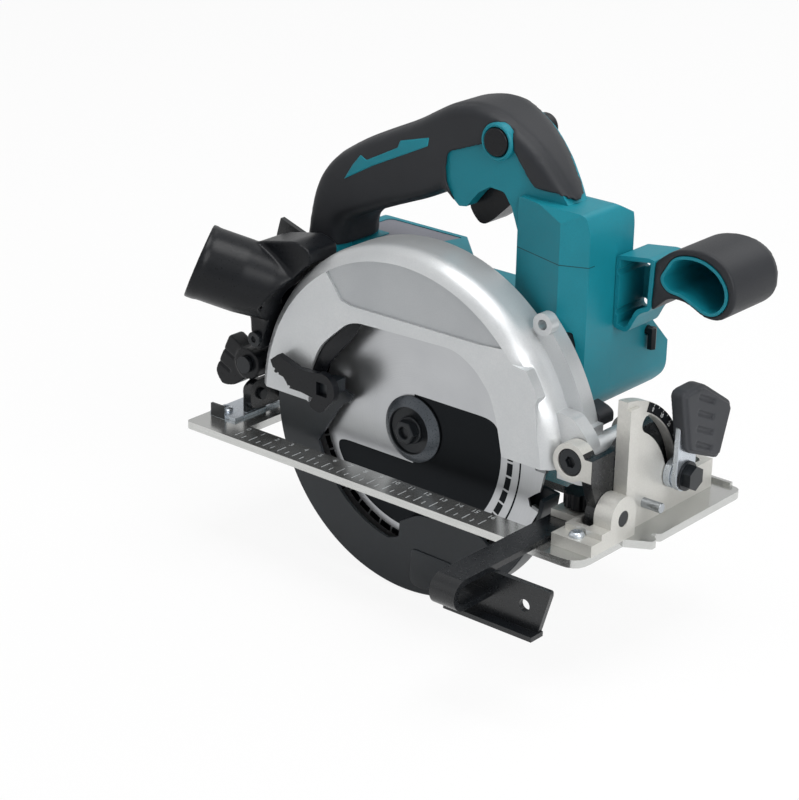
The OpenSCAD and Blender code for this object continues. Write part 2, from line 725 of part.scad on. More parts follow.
module lower_guard() {
    band_r = 62;
    color("#2B3035") union() {
        intersection() {
            about_blade() union() {
                polygon([[lower_r - lower_wall, lower_y0], [lower_r, lower_y0 + 1], [lower_r, lower_y1 - 1],
                    [lower_r - lower_wall, lower_y1]]);
            }
            across(-60, 0) translate([0, arbor_z]) sector(120, lower_a0, lower_a1);
        }
        // outer wall
        across(lower_y0, lower_y0 + lower_wall) difference() {
            intersection() {
                translate([0, arbor_z]) circle(r = lower_r - 0.8, $fn = 128);
                translate([0, arbor_z]) sector(120, lower_a0, lower_a1);
                polygon(rounded(concat(
                    [[-120, -80, 0], [120, -80, 0], [120, -4, 0], [80, -4, 0], [62, -14, 4], [54, -20.5, 2],
                        [50, -16.9, 3], [41, -15.3, 6], [23.5, -15.6, 6], [8.6, -17.2, 3], [-2.9, -24, 1],
                        [-3.4, -33, 1.5]],
                    [for (a = [-100 : -7.5 : -160]) [band_r * cos(a), arbor_z + band_r * sin(a), 0]],
                    [[-44, 27, 4], [-36, 32, 3], [-34, 46, 5], [-48, 51, 5], [-120, 51, 0]]
                )));
            }
        }
        // inner wall with its hub
        across(lower_y1 - lower_wall, lower_y1) difference() {
            union() {
                intersection() {
                    translate([0, arbor_z]) circle(r = lower_r - 0.8, $fn = 128);
                    translate([0, arbor_z]) sector(120, lower_a0, lower_a1);
                }
                translate([0, arbor_z]) circle(r = boss_r + 5);
            }
            translate([0, arbor_z]) circle(r = boss_r + run_gap);
        }
        // closing lip at the front end
        across(lower_y0 + 1, lower_y1 - 1) intersection() {
            translate([0, arbor_z]) difference() {
                sector(lower_r - 1, lower_a0 - 3, lower_a0);
                circle(r = blade_r + 1.5, $fn = 128);
            }
            translate([60, -10]) square(60);
        }
        // square lever post
        box([lever_x - 3.5, -46, lever_z - 3.5], [lever_x + 3.5, lower_y0 + 0.5, lever_z + 3.5]);
    }
}

module retract_lever() {
    y0 = -49;
    y1 = -45;
    color("#22262B") difference() {
        across(y0, y1) union() {
            translate([lever_x, lever_z]) circle(r = 8.5);
            polygon([[lever_x - 4, lever_z + 7.5], [-61, 47], [-74, 51], [-79, 47], [-76, 41], [-70, 40],
                [-66, 35], [-58, 35], [lever_x - 6, lever_z - 6]]);
            polygon(rounded([[lever_x - 4, lever_z - 2, 0], [lever_x - 9, lever_z - 11, 3],
                [lever_x - 1, lever_z - 13.5, 3], [lever_x + 6, lever_z - 6, 0]]));
        }
        box([lever_x - 3.52, -60, lever_z - 3.52], [lever_x + 3.52, -40, lever_z + 3.52]);
        for (k = [0 : 4]) translate([-77 + 2.6 * k, -47, 42 - 1.7 * k]) rotate([0, 33, 0]) cube([1.3, 12, 3], center = true);
    }
}

module guard_ring() {
    ring_y = lower_y1 - lower_wall - 0.25;
    color("dimgray") difference() {
        rod_y(0, arbor_z, boss_r + 1.6, ring_y - 0.9, ring_y);
        rod_y(0, arbor_z, boss_r - 0.8, ring_y - 2, ring_y + 1);
        box([-4, ring_y - 2, arbor_z + 8], [4, ring_y + 2, arbor_z + 40]);
    }
}

module guard_spring() {
    spring_r = boss_r + 2.2;
    color("silver") difference() {
        rod_y(0, arbor_z, spring_r + 0.6, lower_y1 + face_gap, upper_y1 - upper_wall - 1.02);
        rod_y(0, arbor_z, boss_r + 0.01, -40, 0);
    }
}

// Point at a distance from the rim of the upper guard, at an angle about the blade axis.
function on_guard(gap, a, r) = [(upper_r + gap) * cos(a), arbor_z + (upper_r + gap) * sin(a), r];

nozzle_screw_at = on_guard(4.1, 164.6, 0);
outlet_a = 146.8;

// The way out of the upper guard into the dust nozzle, along a radius of the blade.
module outlet_bore(length) {
    start = on_guard(-9, outlet_a, 0);
    translate([start.x, -29, start.y]) rotate([0, 90 - outlet_a, 0]) cylinder(r = 8.5, h = length);
}

module dust_nozzle() {
    axis_az = 215;
    axis_el = 17.5;
    mouth_tilt = 4.5;
    root = on_guard(1.9, outlet_a, 0);
    color("#22262B") difference() {
        union() {
            translate([root.x, -32.7, root.y]) rotate([0, 0, axis_az]) rotate([0, 90 - axis_el, 0]) difference() {
                union() {
                    cylinder(d = nozzle_d - 3, h = nozzle_len);
                    translate([0, 0, 8]) cylinder(d1 = nozzle_d - 3, d2 = nozzle_d, h = 16);
                    translate([0, 0, 24]) cylinder(d = nozzle_d, h = nozzle_len - 22);
                    translate([0, 0, nozzle_len - 4]) cylinder(d = nozzle_d + 0.8, h = 6);
                }
                // the mouth is cut a little off square
                translate([0, 0, nozzle_len]) rotate([0, -mouth_tilt, 0]) translate([-30, -30, 0]) cube([60, 60, 20]);
            }
            // collar that clips over the guard outlet
            across(-41, -19.3) polygon(rounded([
                on_guard(-8.9, 133.8, 0), on_guard(5.7, 126.4, 3), on_guard(14.2, 129.6, 3), on_guard(30.1, 141.3, 6),
                on_guard(26.9, 148.2, 6), on_guard(5.6, 168.3, 3), on_guard(-3.2, 167.2, 2), on_guard(-3.9, 156.5, 3)
            ]));
        }
        about_blade() translate([0, -60]) square([upper_r + 0.4, 60]);
        translate([root.x, -32.7, root.y]) rotate([0, 0, axis_az]) rotate([0, 90 - axis_el, 0])
            translate([0, 0, 10]) cylinder(d = nozzle_d - 2 * nozzle_wall, h = nozzle_len);
        outlet_bore(27);
        rod_y(nozzle_screw_at.x, nozzle_screw_at.y, 2.2, -60, 0);
    }
}

module nozzle_screw() {
    color("dimgray") difference() {
        union() {
            rod_y(nozzle_screw_at.x, nozzle_screw_at.y, 2.2, -41, -20);
            rod_y(nozzle_screw_at.x, nozzle_screw_at.y, 4, -43.4, -41);
        }
        rod_y(nozzle_screw_at.x, nozzle_screw_at.y, 1.8, -44, -42, $fn = 6);
    }
}

// ---- blade and spindle ----------------------------------------------------------------------

tooth_step = 360 / blade_teeth;

module blade() {
    root = blade_r - 6.5;
    color("#9A9DA0") difference() {
        across(blade_y0, blade_y1) translate([0, arbor_z]) polygon([
            for (i = [0 : blade_teeth - 1])
                each [
                    for (k = [[0, -0.8], [0, -6.5], [0.18, -8.6], [0.34, -6.0], [0.5, -2.6], [0.99, -1.0]])
                        let (a = (i + k[0]) * tooth_step, q = blade_r + k[1])
                        [q * cos(a), q * sin(a)]
                ]
        ]);
        rod_y(0, arbor_z, bore_d / 2 + 0.02, -60, 0);
        // expansion slots with their stop holes
        for (k = [0 : 3]) translate([0, 0, arbor_z]) rotate([0, 45 + 90 * k, 0]) {
            box([root - 14, -60, -0.4], [root - 1, 0, 0.4]);
            rod_y(root - 14, 0, 1.6, -60, 0);
        }
    }
}

module blade_tips() {
    color("silver") for (i = [0 : blade_teeth - 1])
        translate([0, 0, arbor_z]) rotate([0, -i * tooth_step, 0])
            box([blade_r - 5.2, blade_y - kerf / 2, 0], [blade_r - 0.2, blade_y + kerf / 2, 1.65]);
}

module inner_flange() {
    color("dimgray") difference() {
        union() {
            rod_y(0, arbor_z, flange_r, blade_y1, blade_y1 + inner_flange_t);
            rod_y(0, arbor_z, bore_d / 2, blade_y0 + 0.2, blade_y1);
        }
        rod_y(0, arbor_z, spindle_d / 2 + 0.01, -60, 0);
    }
}

module outer_flange() {
    color("#22262B") difference() {
        translate([0, 0, arbor_z]) rotate([-90, 0, 0]) rotate_extrude() polygon([
            [0, blade_y0 - outer_flange_t], [flange_r - 5, blade_y0 - outer_flange_t], [flange_r, blade_y0 - 1.6],
            [flange_r, blade_y0], [0, blade_y0]
        ]);
        rod_y(0, arbor_z, 4.1, -60, 0);
    }
}

module blade_bolt() {
    seat = blade_y0 - outer_flange_t;
    color("#33373B") difference() {
        union() {
            rod_y(0, arbor_z, 4, seat - 1, blade_y1 + 12);
            rod_y(0, arbor_z, 7, seat - 1.2, seat);
            rod_y(0, arbor_z, 6, seat - bolt_head_t, seat - 1);
        }
        rod_y(0, arbor_z, 2.9, seat - bolt_head_t - 1, seat - 1.4, $fn = 6);
    }
}

module spindle() {
    color("silver") difference() {
        union() {
            rod_y(0, arbor_z, spindle_d / 2, blade_y0 + 0.3, gear_y1 + 1);
            rod_y(0, arbor_z, spindle_d / 2 - 2, gear_y1 + 0.5, case_y1 - 2.8);
        }
        rod_y(0, arbor_z, 4.01, -60, blade_y1 + 12.1);
    }
}

module spindle_gear() {
    color("#8A8D90") difference() {
        across(gear_y0, gear_y1) translate([0, arbor_z]) rotate(motor_a) gear_outline(gear_n, gear_m);
        rod_y(0, arbor_z, spindle_d / 2 + 0.01, -60, 0);
        rod_y(0, arbor_z, gear_r - 4, gear_y0 - 1, gear_y0 + 1.5);
    }
}

// ---- gear case ------------------------------------------------------------------------------

module case_outline(d) {
    circle_r = motor_bearing_r + 12;
    union() {
        translate([0, arbor_z]) circle(r = case_r - d);
        translate([motor_x, motor_z]) circle(r = circle_r - d);
    }
}

module bearing_box() {
    color("#B4B6B5") difference() {
        union() {
            across(upper_y1, upper_y1 + bearing_wall) case_outline(0);
            rod_y(0, arbor_z, boss_r, lower_y1 - lower_wall - 1.3, upper_y1 + 0.1);
        }
        rod_y(0, arbor_z, front_bearing_r + 0.01, lower_y1 - lower_wall - 0.6, 0);
        rod_y(0, arbor_z, spindle_d / 2 + 1, -60, 0);
        // groove of the retaining ring
        difference() {
            rod_y(0, arbor_z, boss_r + 3, lower_y1 - lower_wall - 1.17, lower_y1 - lower_wall - 0.23);
            rod_y(0, arbor_z, boss_r - 0.82, -60, 0);
        }
    }
}

module gear_housing() {
    color("#B4B6B5") difference() {
        union() {
            across(upper_y1 + bearing_wall, case_y1) case_outline(0);
            rod_x(lock_y, lock_z, 4.6, case_r - 3, case_r + 5);
        }
        across(-40, case_y1 - 4.5) case_outline(case_wall);
        rod_x(lock_y, lock_z, lock_r + run_gap, case_r - 6, case_r + 20);
        rod_y(0, arbor_z, rear_bearing_r + 0.01, 0, case_y1 - 1.5);
        rod_y(motor_x, motor_z, motor_bearing_r + 0.01, 0, case_y1 + 1);
    }
}

module spindle_bearing_front() {
    color("silver") bearing(0, arbor_z, spindle_d / 2 + run_gap, front_bearing_r, lower_y1 - lower_wall - 0.59, gear_y0 - 1.2);
}

module spindle_bearing_rear() {
    color("silver") bearing(0, arbor_z, spindle_d / 2 - 2 + run_gap, rear_bearing_r, gear_y1 + 1.5, case_y1 - 1.51);
}

module rotor_bearings() {
    color("silver") {
        bearing(motor_x, motor_z, shaft_r + run_gap, motor_bearing_r, case_y1 - 4.4, case_y1 - 0.1);
        bearing(motor_x, motor_z, shaft_r + run_gap, motor_bearing_r, motor_end - 9.9, motor_end - 5.5);
    }
}

module rotor_shaft() {
    color("silver") union() {
        across(gear_y0 + 1, case_y1 - 5) translate([motor_x, motor_z]) rotate(180 + motor_a + 180 / pinion_n)
            gear_outline(pinion_n, gear_m);
        rod_y(motor_x, motor_z, shaft_r, case_y1 - 5.1, motor_end - 5.6);
    }
}

module rotor() {
    color("#777B80") difference() {
        rod_y(motor_x, motor_z, rotor_r, 22, 46);
        rod_y(motor_x, motor_z, shaft_r + 0.01, 0, 60);
    }
}

module stator() {
    color("#B87333") difference() {
        rod_y(motor_x, motor_z, stator_r, 20, 48);
        rod_y(motor_x, motor_z, rotor_r + 0.6, 0, 60);
        for (k = [0 : 5]) translate([motor_x, 0, motor_z]) rotate([0, 30 + 60 * k, 0])
            rod_y(rotor_r + 6, 0, 3.4, 10, 60);
    }
}

module cooling_fan() {
    color("#22262B") difference() {
        union() {
            rod_y(motor_x, motor_z, 6, fan_y, fan_y + 7);
            rod_y(motor_x, motor_z, fan_r, fan_y, fan_y + 1.5);
            for (k = [0 : 12]) translate([motor_x, 0, motor_z]) rotate([0, k * 360 / 13, 0])
                translate([5, fan_y + 1.4, -0.6]) cube([fan_r - 6, 5.6, 1.2]);
        }
        rod_y(motor_x, motor_z, shaft_r + 0.01, 0, 60);
    }
}

// ---- housing --------------------------------------------------------------------------------

body_outline = [
    [14, 16, 4], [78, 46, 3], [front_x, 54, 6], [front_x, 141, 4], [84, 150, 3], [42, 150, 2], [41, 118, 8],
    [30, deck_z, 4], [-96, deck_z, 5], [-97, 86, 2], [-30, 86, 8], [-24, 70, 3], [-22, 40, 3]
];

handle_outline = [
    [-98, 86, 2], [-72.5, 86, 2], [-72.5, 111, 12], [-45, 123.5, 12], [-18, 134.3, 10], [-6, 141, 3],
    [3.5, 133.5, 3], [10, 134.5, 2], [17, 143, 4], [23, 147, 4], [30, 146.5, 4], [34, 141, 3],
    [38.5, 129, 3], [38.5, 118, 2], [80, 118, 2], [84, 150, 4],
    [71.5, 151, 2], [66, 158.5, 5], [58, 167, 6], [49, 174.5, 8], [38, 181, 8], [26, 186.5, 10],
    [12, 189, 12], [-4, 185.5, 10], [-14, 180, 8], [-26, 172.8, 8], [-43, 165, 20], [-60, 156.8, 10],
    [-78, 145.5, 8], [-87, 135, 8], [-91.5, 124.8, 8], [-94.5, 112, 8]
];

rubber_outline = [
    [-98, 86, 2], [-72.5, 86, 2], [-72.5, 111, 12], [-45, 123.5, 12], [-18, 134.3, 10], [-6, 141, 3],
    [3.5, 133.5, 3], [12, 141.5, 2], [36, 166.5, 2], [44.4, 156, 2], [50, 151, 1],
    [71.5, 151, 2], [66, 158.5, 5], [58, 167, 6], [49, 174.5, 8], [38, 181, 8], [26, 186.5, 10],
    [12, 189, 12], [-4, 185.5, 10], [-14, 180, 8], [-26, 172.8, 8], [-43, 165, 20], [-60, 156.8, 10],
    [-78, 145.5, 8], [-87, 135, 8], [-91.5, 124.8, 8], [-94.5, 112, 8]
];

column_x0 = 42;
// Where the cut-off corner of the deck meets Y = 0
deck_corner = 19;

// The column seen from above, less d: its near face slopes in toward the handle.
module column_plan(d) {
    translate([0, 0, 50]) linear_extrude(150) polygon([
        [30, handle_y0 + d], [column_x0, handle_y0 + d], [front_x - 13.1 - d * 0.22, column_y0 + d],
        [front_x - d, column_y0 + 6 + d * 0.64], [front_x, 100], [30, 100]
    ]);
}

// Solid of the whole housing, moved inwards by d.
module housing_solid(d) {
    // front column, with its front left corner and its top right corner cut off
    intersection() {
        across(column_y0 + d, column_y1 - d) intersection() {
            polygon(rounded(inset(body_outline, d)));
            translate([column_x0 + d, 92]) square(100);
        }
        column_plan(d);
        along(30, 100) polygon([
            [column_y0, 50], [column_y1, 50], [column_y1 - d, 144 - d * 0.41],
            [column_y1 - 19 - d * 0.41, 154 - d], [column_y0 + 8, 154 - d], [column_y0, 145 - d * 0.41]
        ]);
    }
    // drum and battery deck, with the front right corner of the deck cut off
    rod_y(motor_x, motor_z, drum_r - d, drum_y0 + d, motor_end - 4);
    intersection() {
        across(drum_y0 + d, deck_y1 - d) intersection() {
            polygon(rounded(inset(body_outline, d)));
            translate([-150, 0]) square([150 + 46, deck_z + 1]);
        }
        union() {
            box([-150, 0, 0], [60, 100, 84 - d]);
            linear_extrude(120) polygon([
                [-150, 0], [deck_corner - d * 1.41, 0], [deck_corner - 60 - d * 1.41, 60], [-150, 60]
            ]);
        }
    }
    // front box, with its upper right corner cut off
    intersection() {
        across(drum_y0 + d, box_y1 - d) intersection() {
            polygon(rounded(inset(body_outline, d)));
            translate([42 + d, 0]) square([100, 98 - d]);
        }
        along(30, 100) polygon([
            [0, 0], [box_y1, 0], [box_y1 - d, 70 - d * 0.41], [34 - d * 0.41, 98 - d], [0, 98 - d]
        ]);
    }
    across(drum_y0 + d, column_y1 - d) intersection() {
        polygon(rounded(inset(body_outline, d)));
        translate([column_x0, 60]) square([60, 60]);
    }
    // near wall of the front box, ahead of the work light
    intersection() {
        across(column_y0 + d, drum_y0 + d + 1) intersection() {
            polygon(rounded(inset(body_outline, d)));
            translate([76 + d, 0]) square([30, 98]);
        }
        column_plan(d);
    }
    // handle core
    core = seam_y - handle_half + rubber_t + d;
    intersection() {
        across(core, 2 * seam_y - core) polygon(rounded(inset(handle_outline, rubber_t + d)));
        handle_plan(rubber_t + d);
    }
}

module housing_cuts() {
    // trigger slot
    across(seam_y - 8.6, seam_y + 8.6) polygon([[-1, 124], [36, 121], [38, 157], [2, 157]]);
    rod_y(button_x, button_z, 7 + 2 * run_gap, -20, 60);
    // window for the label plate
    translate([0, 0, deck_z - 1.5]) linear_extrude(3) polygon(rounded(inset(label_outline, -0.1)));
    // rooms for the work light and for the wrench
    across(-20, drum_y0) polygon(rounded(inset(light_outline, -face_gap)));
    rod_x(wrench_y, wrench_z, 2.7, 50, front_x + 1);
    // end of the drum, closed by the motor cover
    rod_y(motor_x, motor_z, drum_r - wall, motor_end - 12, motor_end + 1);
    // room for the gear case
    across(-60, case_y1 + face_gap) case_outline(-face_gap);
    // passage of the rotor shaft
    rod_y(motor_x, motor_z, motor_bearing_r + 1, 0, case_y1 + 5);
    // trigger pin
    rod_y(pivot_x, pivot_z, pin_r, seam_y - 13.5, seam_y + 13.5);
    for (p = screw_places) {
        rod_y(p.x, p.y, 1.82, seam_y - 10, p.z);
        rod_y(p.x, p.y, 3.4, p.z - 3, p.z + 1);
    }
}

module housing_half(side) {
    color("#1F7F8C") difference() {
        intersection() {
            housing_solid(0);
            box([-200, side < 0 ? -100 : seam_y, 0], [200, side < 0 ? seam_y : 100, 250]);
        }
        difference() {
            housing_solid(wall);
            for (p = screw_places) rod_y(p.x, p.y, 4.4, column_y0, p.z);
        }
        housing_cuts();
    }
}

module housing_left() housing_half(-1);

module housing_right() housing_half(1);

// How the handle is rounded: distance in from its side, and how far the outline shrinks there.
handle_steps = [[0, 4], [1.5, 2.4], [3.5, 1.1], [7, 0]];

// The handle seen from above, less e: it narrows toward the front on the motor side.
module handle_plan(e) {
    side = handle_y1 - e;
    translate([0, 0, 60]) linear_extrude(150) polygon([
        [-150, -60], [100, -60], [100, side - 24], [71.5, side - 19], [55, side - 11], [40, side - 5], [18, side],
        [-150, side]
    ]);
}

module handle_rubber() {
    cut = [[-2.3, 162], [-3.4, 154], [-2.6, 147], [3, 137], [4, 128], [36, 118], [48, 118], [45, 152],
        [37, 167], [24, 172]];
    color("#3A3C40") difference() {
        union() {
            for (s = handle_steps) intersection() {
                across(handle_y0 + s.x, handle_y1 - s.x) polygon(rounded(inset(rubber_outline, s.y)));
                handle_plan(s.x);
            }
        }
        across(handle_y0 + rubber_t, handle_y1 - rubber_t) polygon(rounded(inset(handle_outline, rubber_t)));
        across(-30, 60) polygon(cut);
        across(seam_y - 8.6, seam_y + 8.6) polygon([[-4, 124], [40, 124], [40, 157], [6, 157], [-4, 149]]);
        rod_y(button_x, button_z, 8.5, -30, 60);
        for (p = screw_places) rod_y(p.x, p.y, 3.4, p.z - 3, 60);
        box([-120, -20, 60], [-60, 60, deck_z + face_gap]);
        box([38, -20, 60], [front_x + 5, 60, 150.5]);
    }
}

module motor_cover() {
    color("#22262B") difference() {
        union() {
            rod_y(motor_x, motor_z, drum_r - wall - 0.02, motor_end - 6, motor_end);
            rod_y(motor_x, motor_z, motor_bearing_r + 2.5, motor_end - 10, motor_end - 5);
        }
        rod_y(motor_x, motor_z, motor_bearing_r + 0.01, motor_end - 11, motor_end - 5.49);
        for (k = [-3 : 3]) if (k != 0)
            box([motor_x - 20 + abs(k) * 2, motor_end - 8, motor_z + 6 * k - 1.4],
                [motor_x + 20 - abs(k) * 2, motor_end + 1, motor_z + 6 * k + 1.4]);
    }
}

module trigger() {
    color("#22262B") difference() {
        across(seam_y - 8, seam_y + 8) polygon(rounded([
            [4, 134.5, 2], [7, 130, 3], [10.5, 127, 3], [14, 127, 3], [19, 130.5, 4], [31, 142, 2],
            [34, 148, 4], [28, 153, 4], [14, 152, 3]
        ]));
        rod_y(pivot_x, pivot_z, pin_r + run_gap, -20, 60);
    }
}

module lock_off_button() {
    color("#22262B") union() {
        rod_y(button_x, button_z, 7, handle_y0 - 1.8, handle_y1 + 1.8);
    }
}

module switch_unit() {
    color("#2A2E33") union() {
        box([-8, seam_y - switch_half, 154.5], [22, seam_y + switch_half - 4, 164]);
        rod_y(pivot_x, pivot_z, pin_r, seam_y - 13.5, seam_y + 13.5);
    }
}

module controller() {
    color("#2F5D50") union() {
        box([62, drum_y0 + wall, 62], [78, 37, 88]);
        box([60, 14, 64], [62, 36, 86]);
    }
}

module terminal_block() {
    color("#22262B") difference() {
        box([-46, 14, 66], [-38.2, 41, bay_z]);
        for (y = [18, 26, 34]) box([-47, y, 69], [-40, y + 3, 81]);
    }
}

label_outline = [
    [-70.6, 10, 1], [-42, 10, 1], [-42, 40, 1], [-38, 53, 1], [-87, 53, 4], [-87, 33.6, 1], [-70.6, 33.6, 1]
];

module label_plate() {
    color("#73757F") translate([0, 0, deck_z - 1.5]) linear_extrude(1.2) polygon(rounded(label_outline));
}

module battery_rails() {
    color("#22262B") for (y = [8, 44]) {
        box([-94, y, bay_z - 6], [-40, y + 3, bay_z]);
        box([-94, y == 8 ? y : y - 2, bay_z - 8], [-40, y == 8 ? y + 5 : y + 3, bay_z - 5.5]);
    }
}

grip_outer = [
    [107.5, 102.6, 2], [117, 111.9, 8], [126.5, 111.7, 6], [138, 106.2, 6], [146, 107, 6], [152.8, 113.8, 5],
    [152.8, 124.5, 5], [147.8, 133.5, 6], [138, 138, 6], [127.3, 137.8, 6], [117.5, 135.1, 6], [108.5, 127.6, 2]
];

grip_inner = [
    [112.9, 120, 3], [116.7, 115.8, 3], [124, 115.5, 5], [137.8, 109.5, 4], [143.2, 110.4, 4], [147.6, 115.9, 3],
    [147.6, 122.2, 4], [143.4, 128.5, 4], [136, 132.5, 4], [127.6, 133.2, 5], [119.5, 131.1, 3]
];

root_outline = [
    [86.8, 90, 2], [95.2, 88.5, 4], [101, 100, 4], [107.5, 103, 2], [108.5, 128, 3], [105.2, 128.5, 3], [86.8, 126, 2]
];

module front_grip_shell() {
    color("#1F7F8C") difference() {
        union() {
            across(seam_y, seam_y + 24) polygon(rounded(root_outline));
            across(seam_y, grip_end - 4) polygon(rounded(inset(grip_inner, -1.5)));
        }
        // hollow of the root, open toward the blade side
        across(seam_y - 1, seam_y + 21) polygon(rounded(inset(root_outline, 2.2)));
        across(seam_y - 1, grip_end - 7) polygon(rounded(grip_inner));
        for (z = [98, 118]) rod_y(90, z, 2.1, -5, 60);
    }
}

module front_grip_rubber() {
    color("#3A3C40") difference() {
        union() {
            across(seam_y, grip_end - 5) polygon(rounded(grip_outer));
            across(grip_end - 5.01, grip_end - 2) polygon(rounded(inset(grip_outer, 1.2)));
            across(grip_end - 2.01, grip_end) polygon(rounded(inset(grip_outer, 3.2)));
        }
        across(seam_y - 1, grip_end - 4) polygon(rounded(inset(grip_inner, -1.5)));
        across(seam_y - 1, seam_y + 24) polygon(rounded(inset(root_outline, -0.01)));
    }
}

light_outline = [[66, 76, 1], [80.5, 76, 1], [82.5, 84, 3], [80.5, 91.7, 1], [66, 91.7, 1]];

module work_light() {
    color("#22262B") difference() {
        across(-14.8, drum_y0 - face_gap) polygon(rounded(light_outline));
        rod_z(73, -7, 4.02, 70, 80);
    }
}

module light_lens() {
    color("#DDE6EA") rod_z(73, -7, 4, 76.2, 80);
}

module shaft_lock() {
    color("#22262B") union() {
        rod_x(lock_y, lock_z, lock_r, case_r - 0.4, case_r + 8);
        rod_x(lock_y, lock_z, 5, case_r + 7.5, case_r + 13);
    }
}

module rubber_stop() {
    color("#22262B") across(upper_y1, -4) polygon(rounded([
        [hinge_x - 11.8, 50, 1], [hinge_x - 5.8, 49, 1], [hinge_x - 1.8, 51, 1], [hinge_x - 1.8, 56, 2],
        [hinge_x - 4.8, 58, 2], [hinge_x - 11.8, 60, 1]
    ]));
}

wrench_y = 43.6;
wrench_z = 80;

module hex_wrench() {
    color("#22262B") union() {
        rod_x(wrench_y, wrench_z, 2.4, 60, front_x + 3, $fn = 6);
        rod_z(front_x + 2.8, wrench_y, 2.4, wrench_z - 9, wrench_z + 2, $fn = 6);
    }
}

module housing_screws() {
    color("dimgray") for (p = screw_places) difference() {
        union() {
            rod_y(p.x, p.y, 1.8, seam_y - 9.8, p.z - 2.9);
            rod_y(p.x, p.y, 3.2, p.z - 3, p.z - 1);
        }
        rod_y(p.x, p.y, 1.6, p.z - 2, p.z, $fn = 6);
    }
}

// ---- selection ------------------------------------------------------------------------------

base_plate();
front_bracket();
plate_screws();
rear_bracket();
rear_bevel_pin();
front_bevel_pin();
stop_pin();
angular_guide();
depth_hinge_pin();
bevel_clamp_bolt();
depth_guide();
bevel_lever_strap();
bevel_lever_grip();
depth_lever();
depth_stud();
rip_fence();
fence_knob();
upper_guard();
dust_nozzle();
nozzle_screw();
bearing_box();
gear_housing();
spindle_bearing_front();
spindle_bearing_rear();
rotor_bearings();
guard_ring();
guard_spring();
blade();
blade_tips();
inner_flange();
outer_flange();
blade_bolt();
spindle();
spindle_gear();
rotor();
rotor_shaft();
cooling_fan();
stator();
motor_cover();
housing_left();
housing_right();
handle_rubber();
trigger();
lock_off_button();
switch_unit();
controller();
terminal_block();
battery_rails();
label_plate();
front_grip_shell();
front_grip_rubber();
work_light();
light_lens();
shaft_lock();
rubber_stop();
hex_wrench();
housing_screws();
lower_guard();
retract_lever();
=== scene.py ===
"""Looks of a 165 mm cordless circular saw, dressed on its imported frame.

Sizes in the dataclass fields are millimetres in the frame of the part: the blade axis crosses
X = 0, +X is the cutting direction, the motor is at +Y and the sole lies at Z = 0.
"""

import json
import logging
import math
from dataclasses import dataclass, field
from enum import Enum
from functools import partial
from typing import Callable, ClassVar, Optional, Sequence

import bmesh
import bpy
import numpy as np
from bpy.types import ID, Material, Mesh, Node, NodeSocket, NodeTree, Object, World
from mathutils import Matrix, Vector
from mathutils.bvhtree import BVHTree
from mathutils.geometry import delaunay_2d_cdt


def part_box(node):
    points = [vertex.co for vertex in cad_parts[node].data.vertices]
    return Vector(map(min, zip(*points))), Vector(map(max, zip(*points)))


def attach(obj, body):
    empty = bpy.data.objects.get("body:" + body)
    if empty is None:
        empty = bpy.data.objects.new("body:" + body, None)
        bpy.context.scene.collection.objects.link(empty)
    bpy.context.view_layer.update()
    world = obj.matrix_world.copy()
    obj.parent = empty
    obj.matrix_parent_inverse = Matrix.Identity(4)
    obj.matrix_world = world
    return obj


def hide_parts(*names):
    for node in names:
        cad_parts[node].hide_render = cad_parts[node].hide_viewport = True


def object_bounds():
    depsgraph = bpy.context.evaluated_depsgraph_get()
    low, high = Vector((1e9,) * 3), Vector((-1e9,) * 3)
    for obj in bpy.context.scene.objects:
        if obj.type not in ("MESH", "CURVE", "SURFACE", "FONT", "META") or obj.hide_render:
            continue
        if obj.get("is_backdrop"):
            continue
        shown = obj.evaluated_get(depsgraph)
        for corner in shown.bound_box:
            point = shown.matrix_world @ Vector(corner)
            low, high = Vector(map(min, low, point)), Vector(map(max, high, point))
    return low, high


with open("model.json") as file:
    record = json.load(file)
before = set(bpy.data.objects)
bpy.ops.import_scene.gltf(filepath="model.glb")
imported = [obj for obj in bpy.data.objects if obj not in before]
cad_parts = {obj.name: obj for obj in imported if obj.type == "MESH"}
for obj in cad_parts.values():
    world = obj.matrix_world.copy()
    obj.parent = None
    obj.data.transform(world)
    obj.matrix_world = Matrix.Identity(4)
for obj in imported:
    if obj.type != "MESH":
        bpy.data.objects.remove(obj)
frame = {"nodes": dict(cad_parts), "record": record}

log = logging.getLogger("saw")
MM = 0.001
INK_MM = 0.02  # half the height of printed and etched figures
# Points closer than this, in metres, become one.
WELD_M = 2e-6
COPY_WELD_M = 3e-6
FIGURE_WELD_M = 1e-6
RELAX_FACTOR = 0.5  # strength of each smoothing pass
EASED_FROM_DEG = 30.0  # only sharper edges of a copied node are eased
PRISM_EASED_FROM_DEG = 32.0
# Edges sharper than this many degrees stay sharp in the shading.
TURNED_SHARP = 32.0
PRISM_SHARP = 45.0
EASED_SHARP = 50.0
FLOWING_SHARP = 60.0
Span = tuple[float, float]  # from, to
Point = tuple[float, float]  # u, v
Corner = tuple[float, float, float]  # u, v, rounding
Spot = tuple[float, float, float]  # x, y, z
GRAIN_SPAN: Span = (0.3, 0.7)  # the stretch of the grain's noise that sets the roughness
DRIFT_SPAN: Span = (0.1, 0.4)  # the stretch of both noises' product that sets the colour
LEAST_ROUGHNESS = 0.04
Height = Callable[[np.ndarray], np.ndarray]


# ---- finishes -----------------------------------------------------------------------------


class Grain(Enum):
    """How the surface of a part was made."""

    MOULDED = "spark-eroded mould"
    SMOOTH = "polished mould"
    CAST = "die cast and lacquered"
    ROLLED = "rolled along X"
    RADIAL = "ground in circles about the blade axis"
    PLATED = "barrel plated"
    COATED = "powder coated"


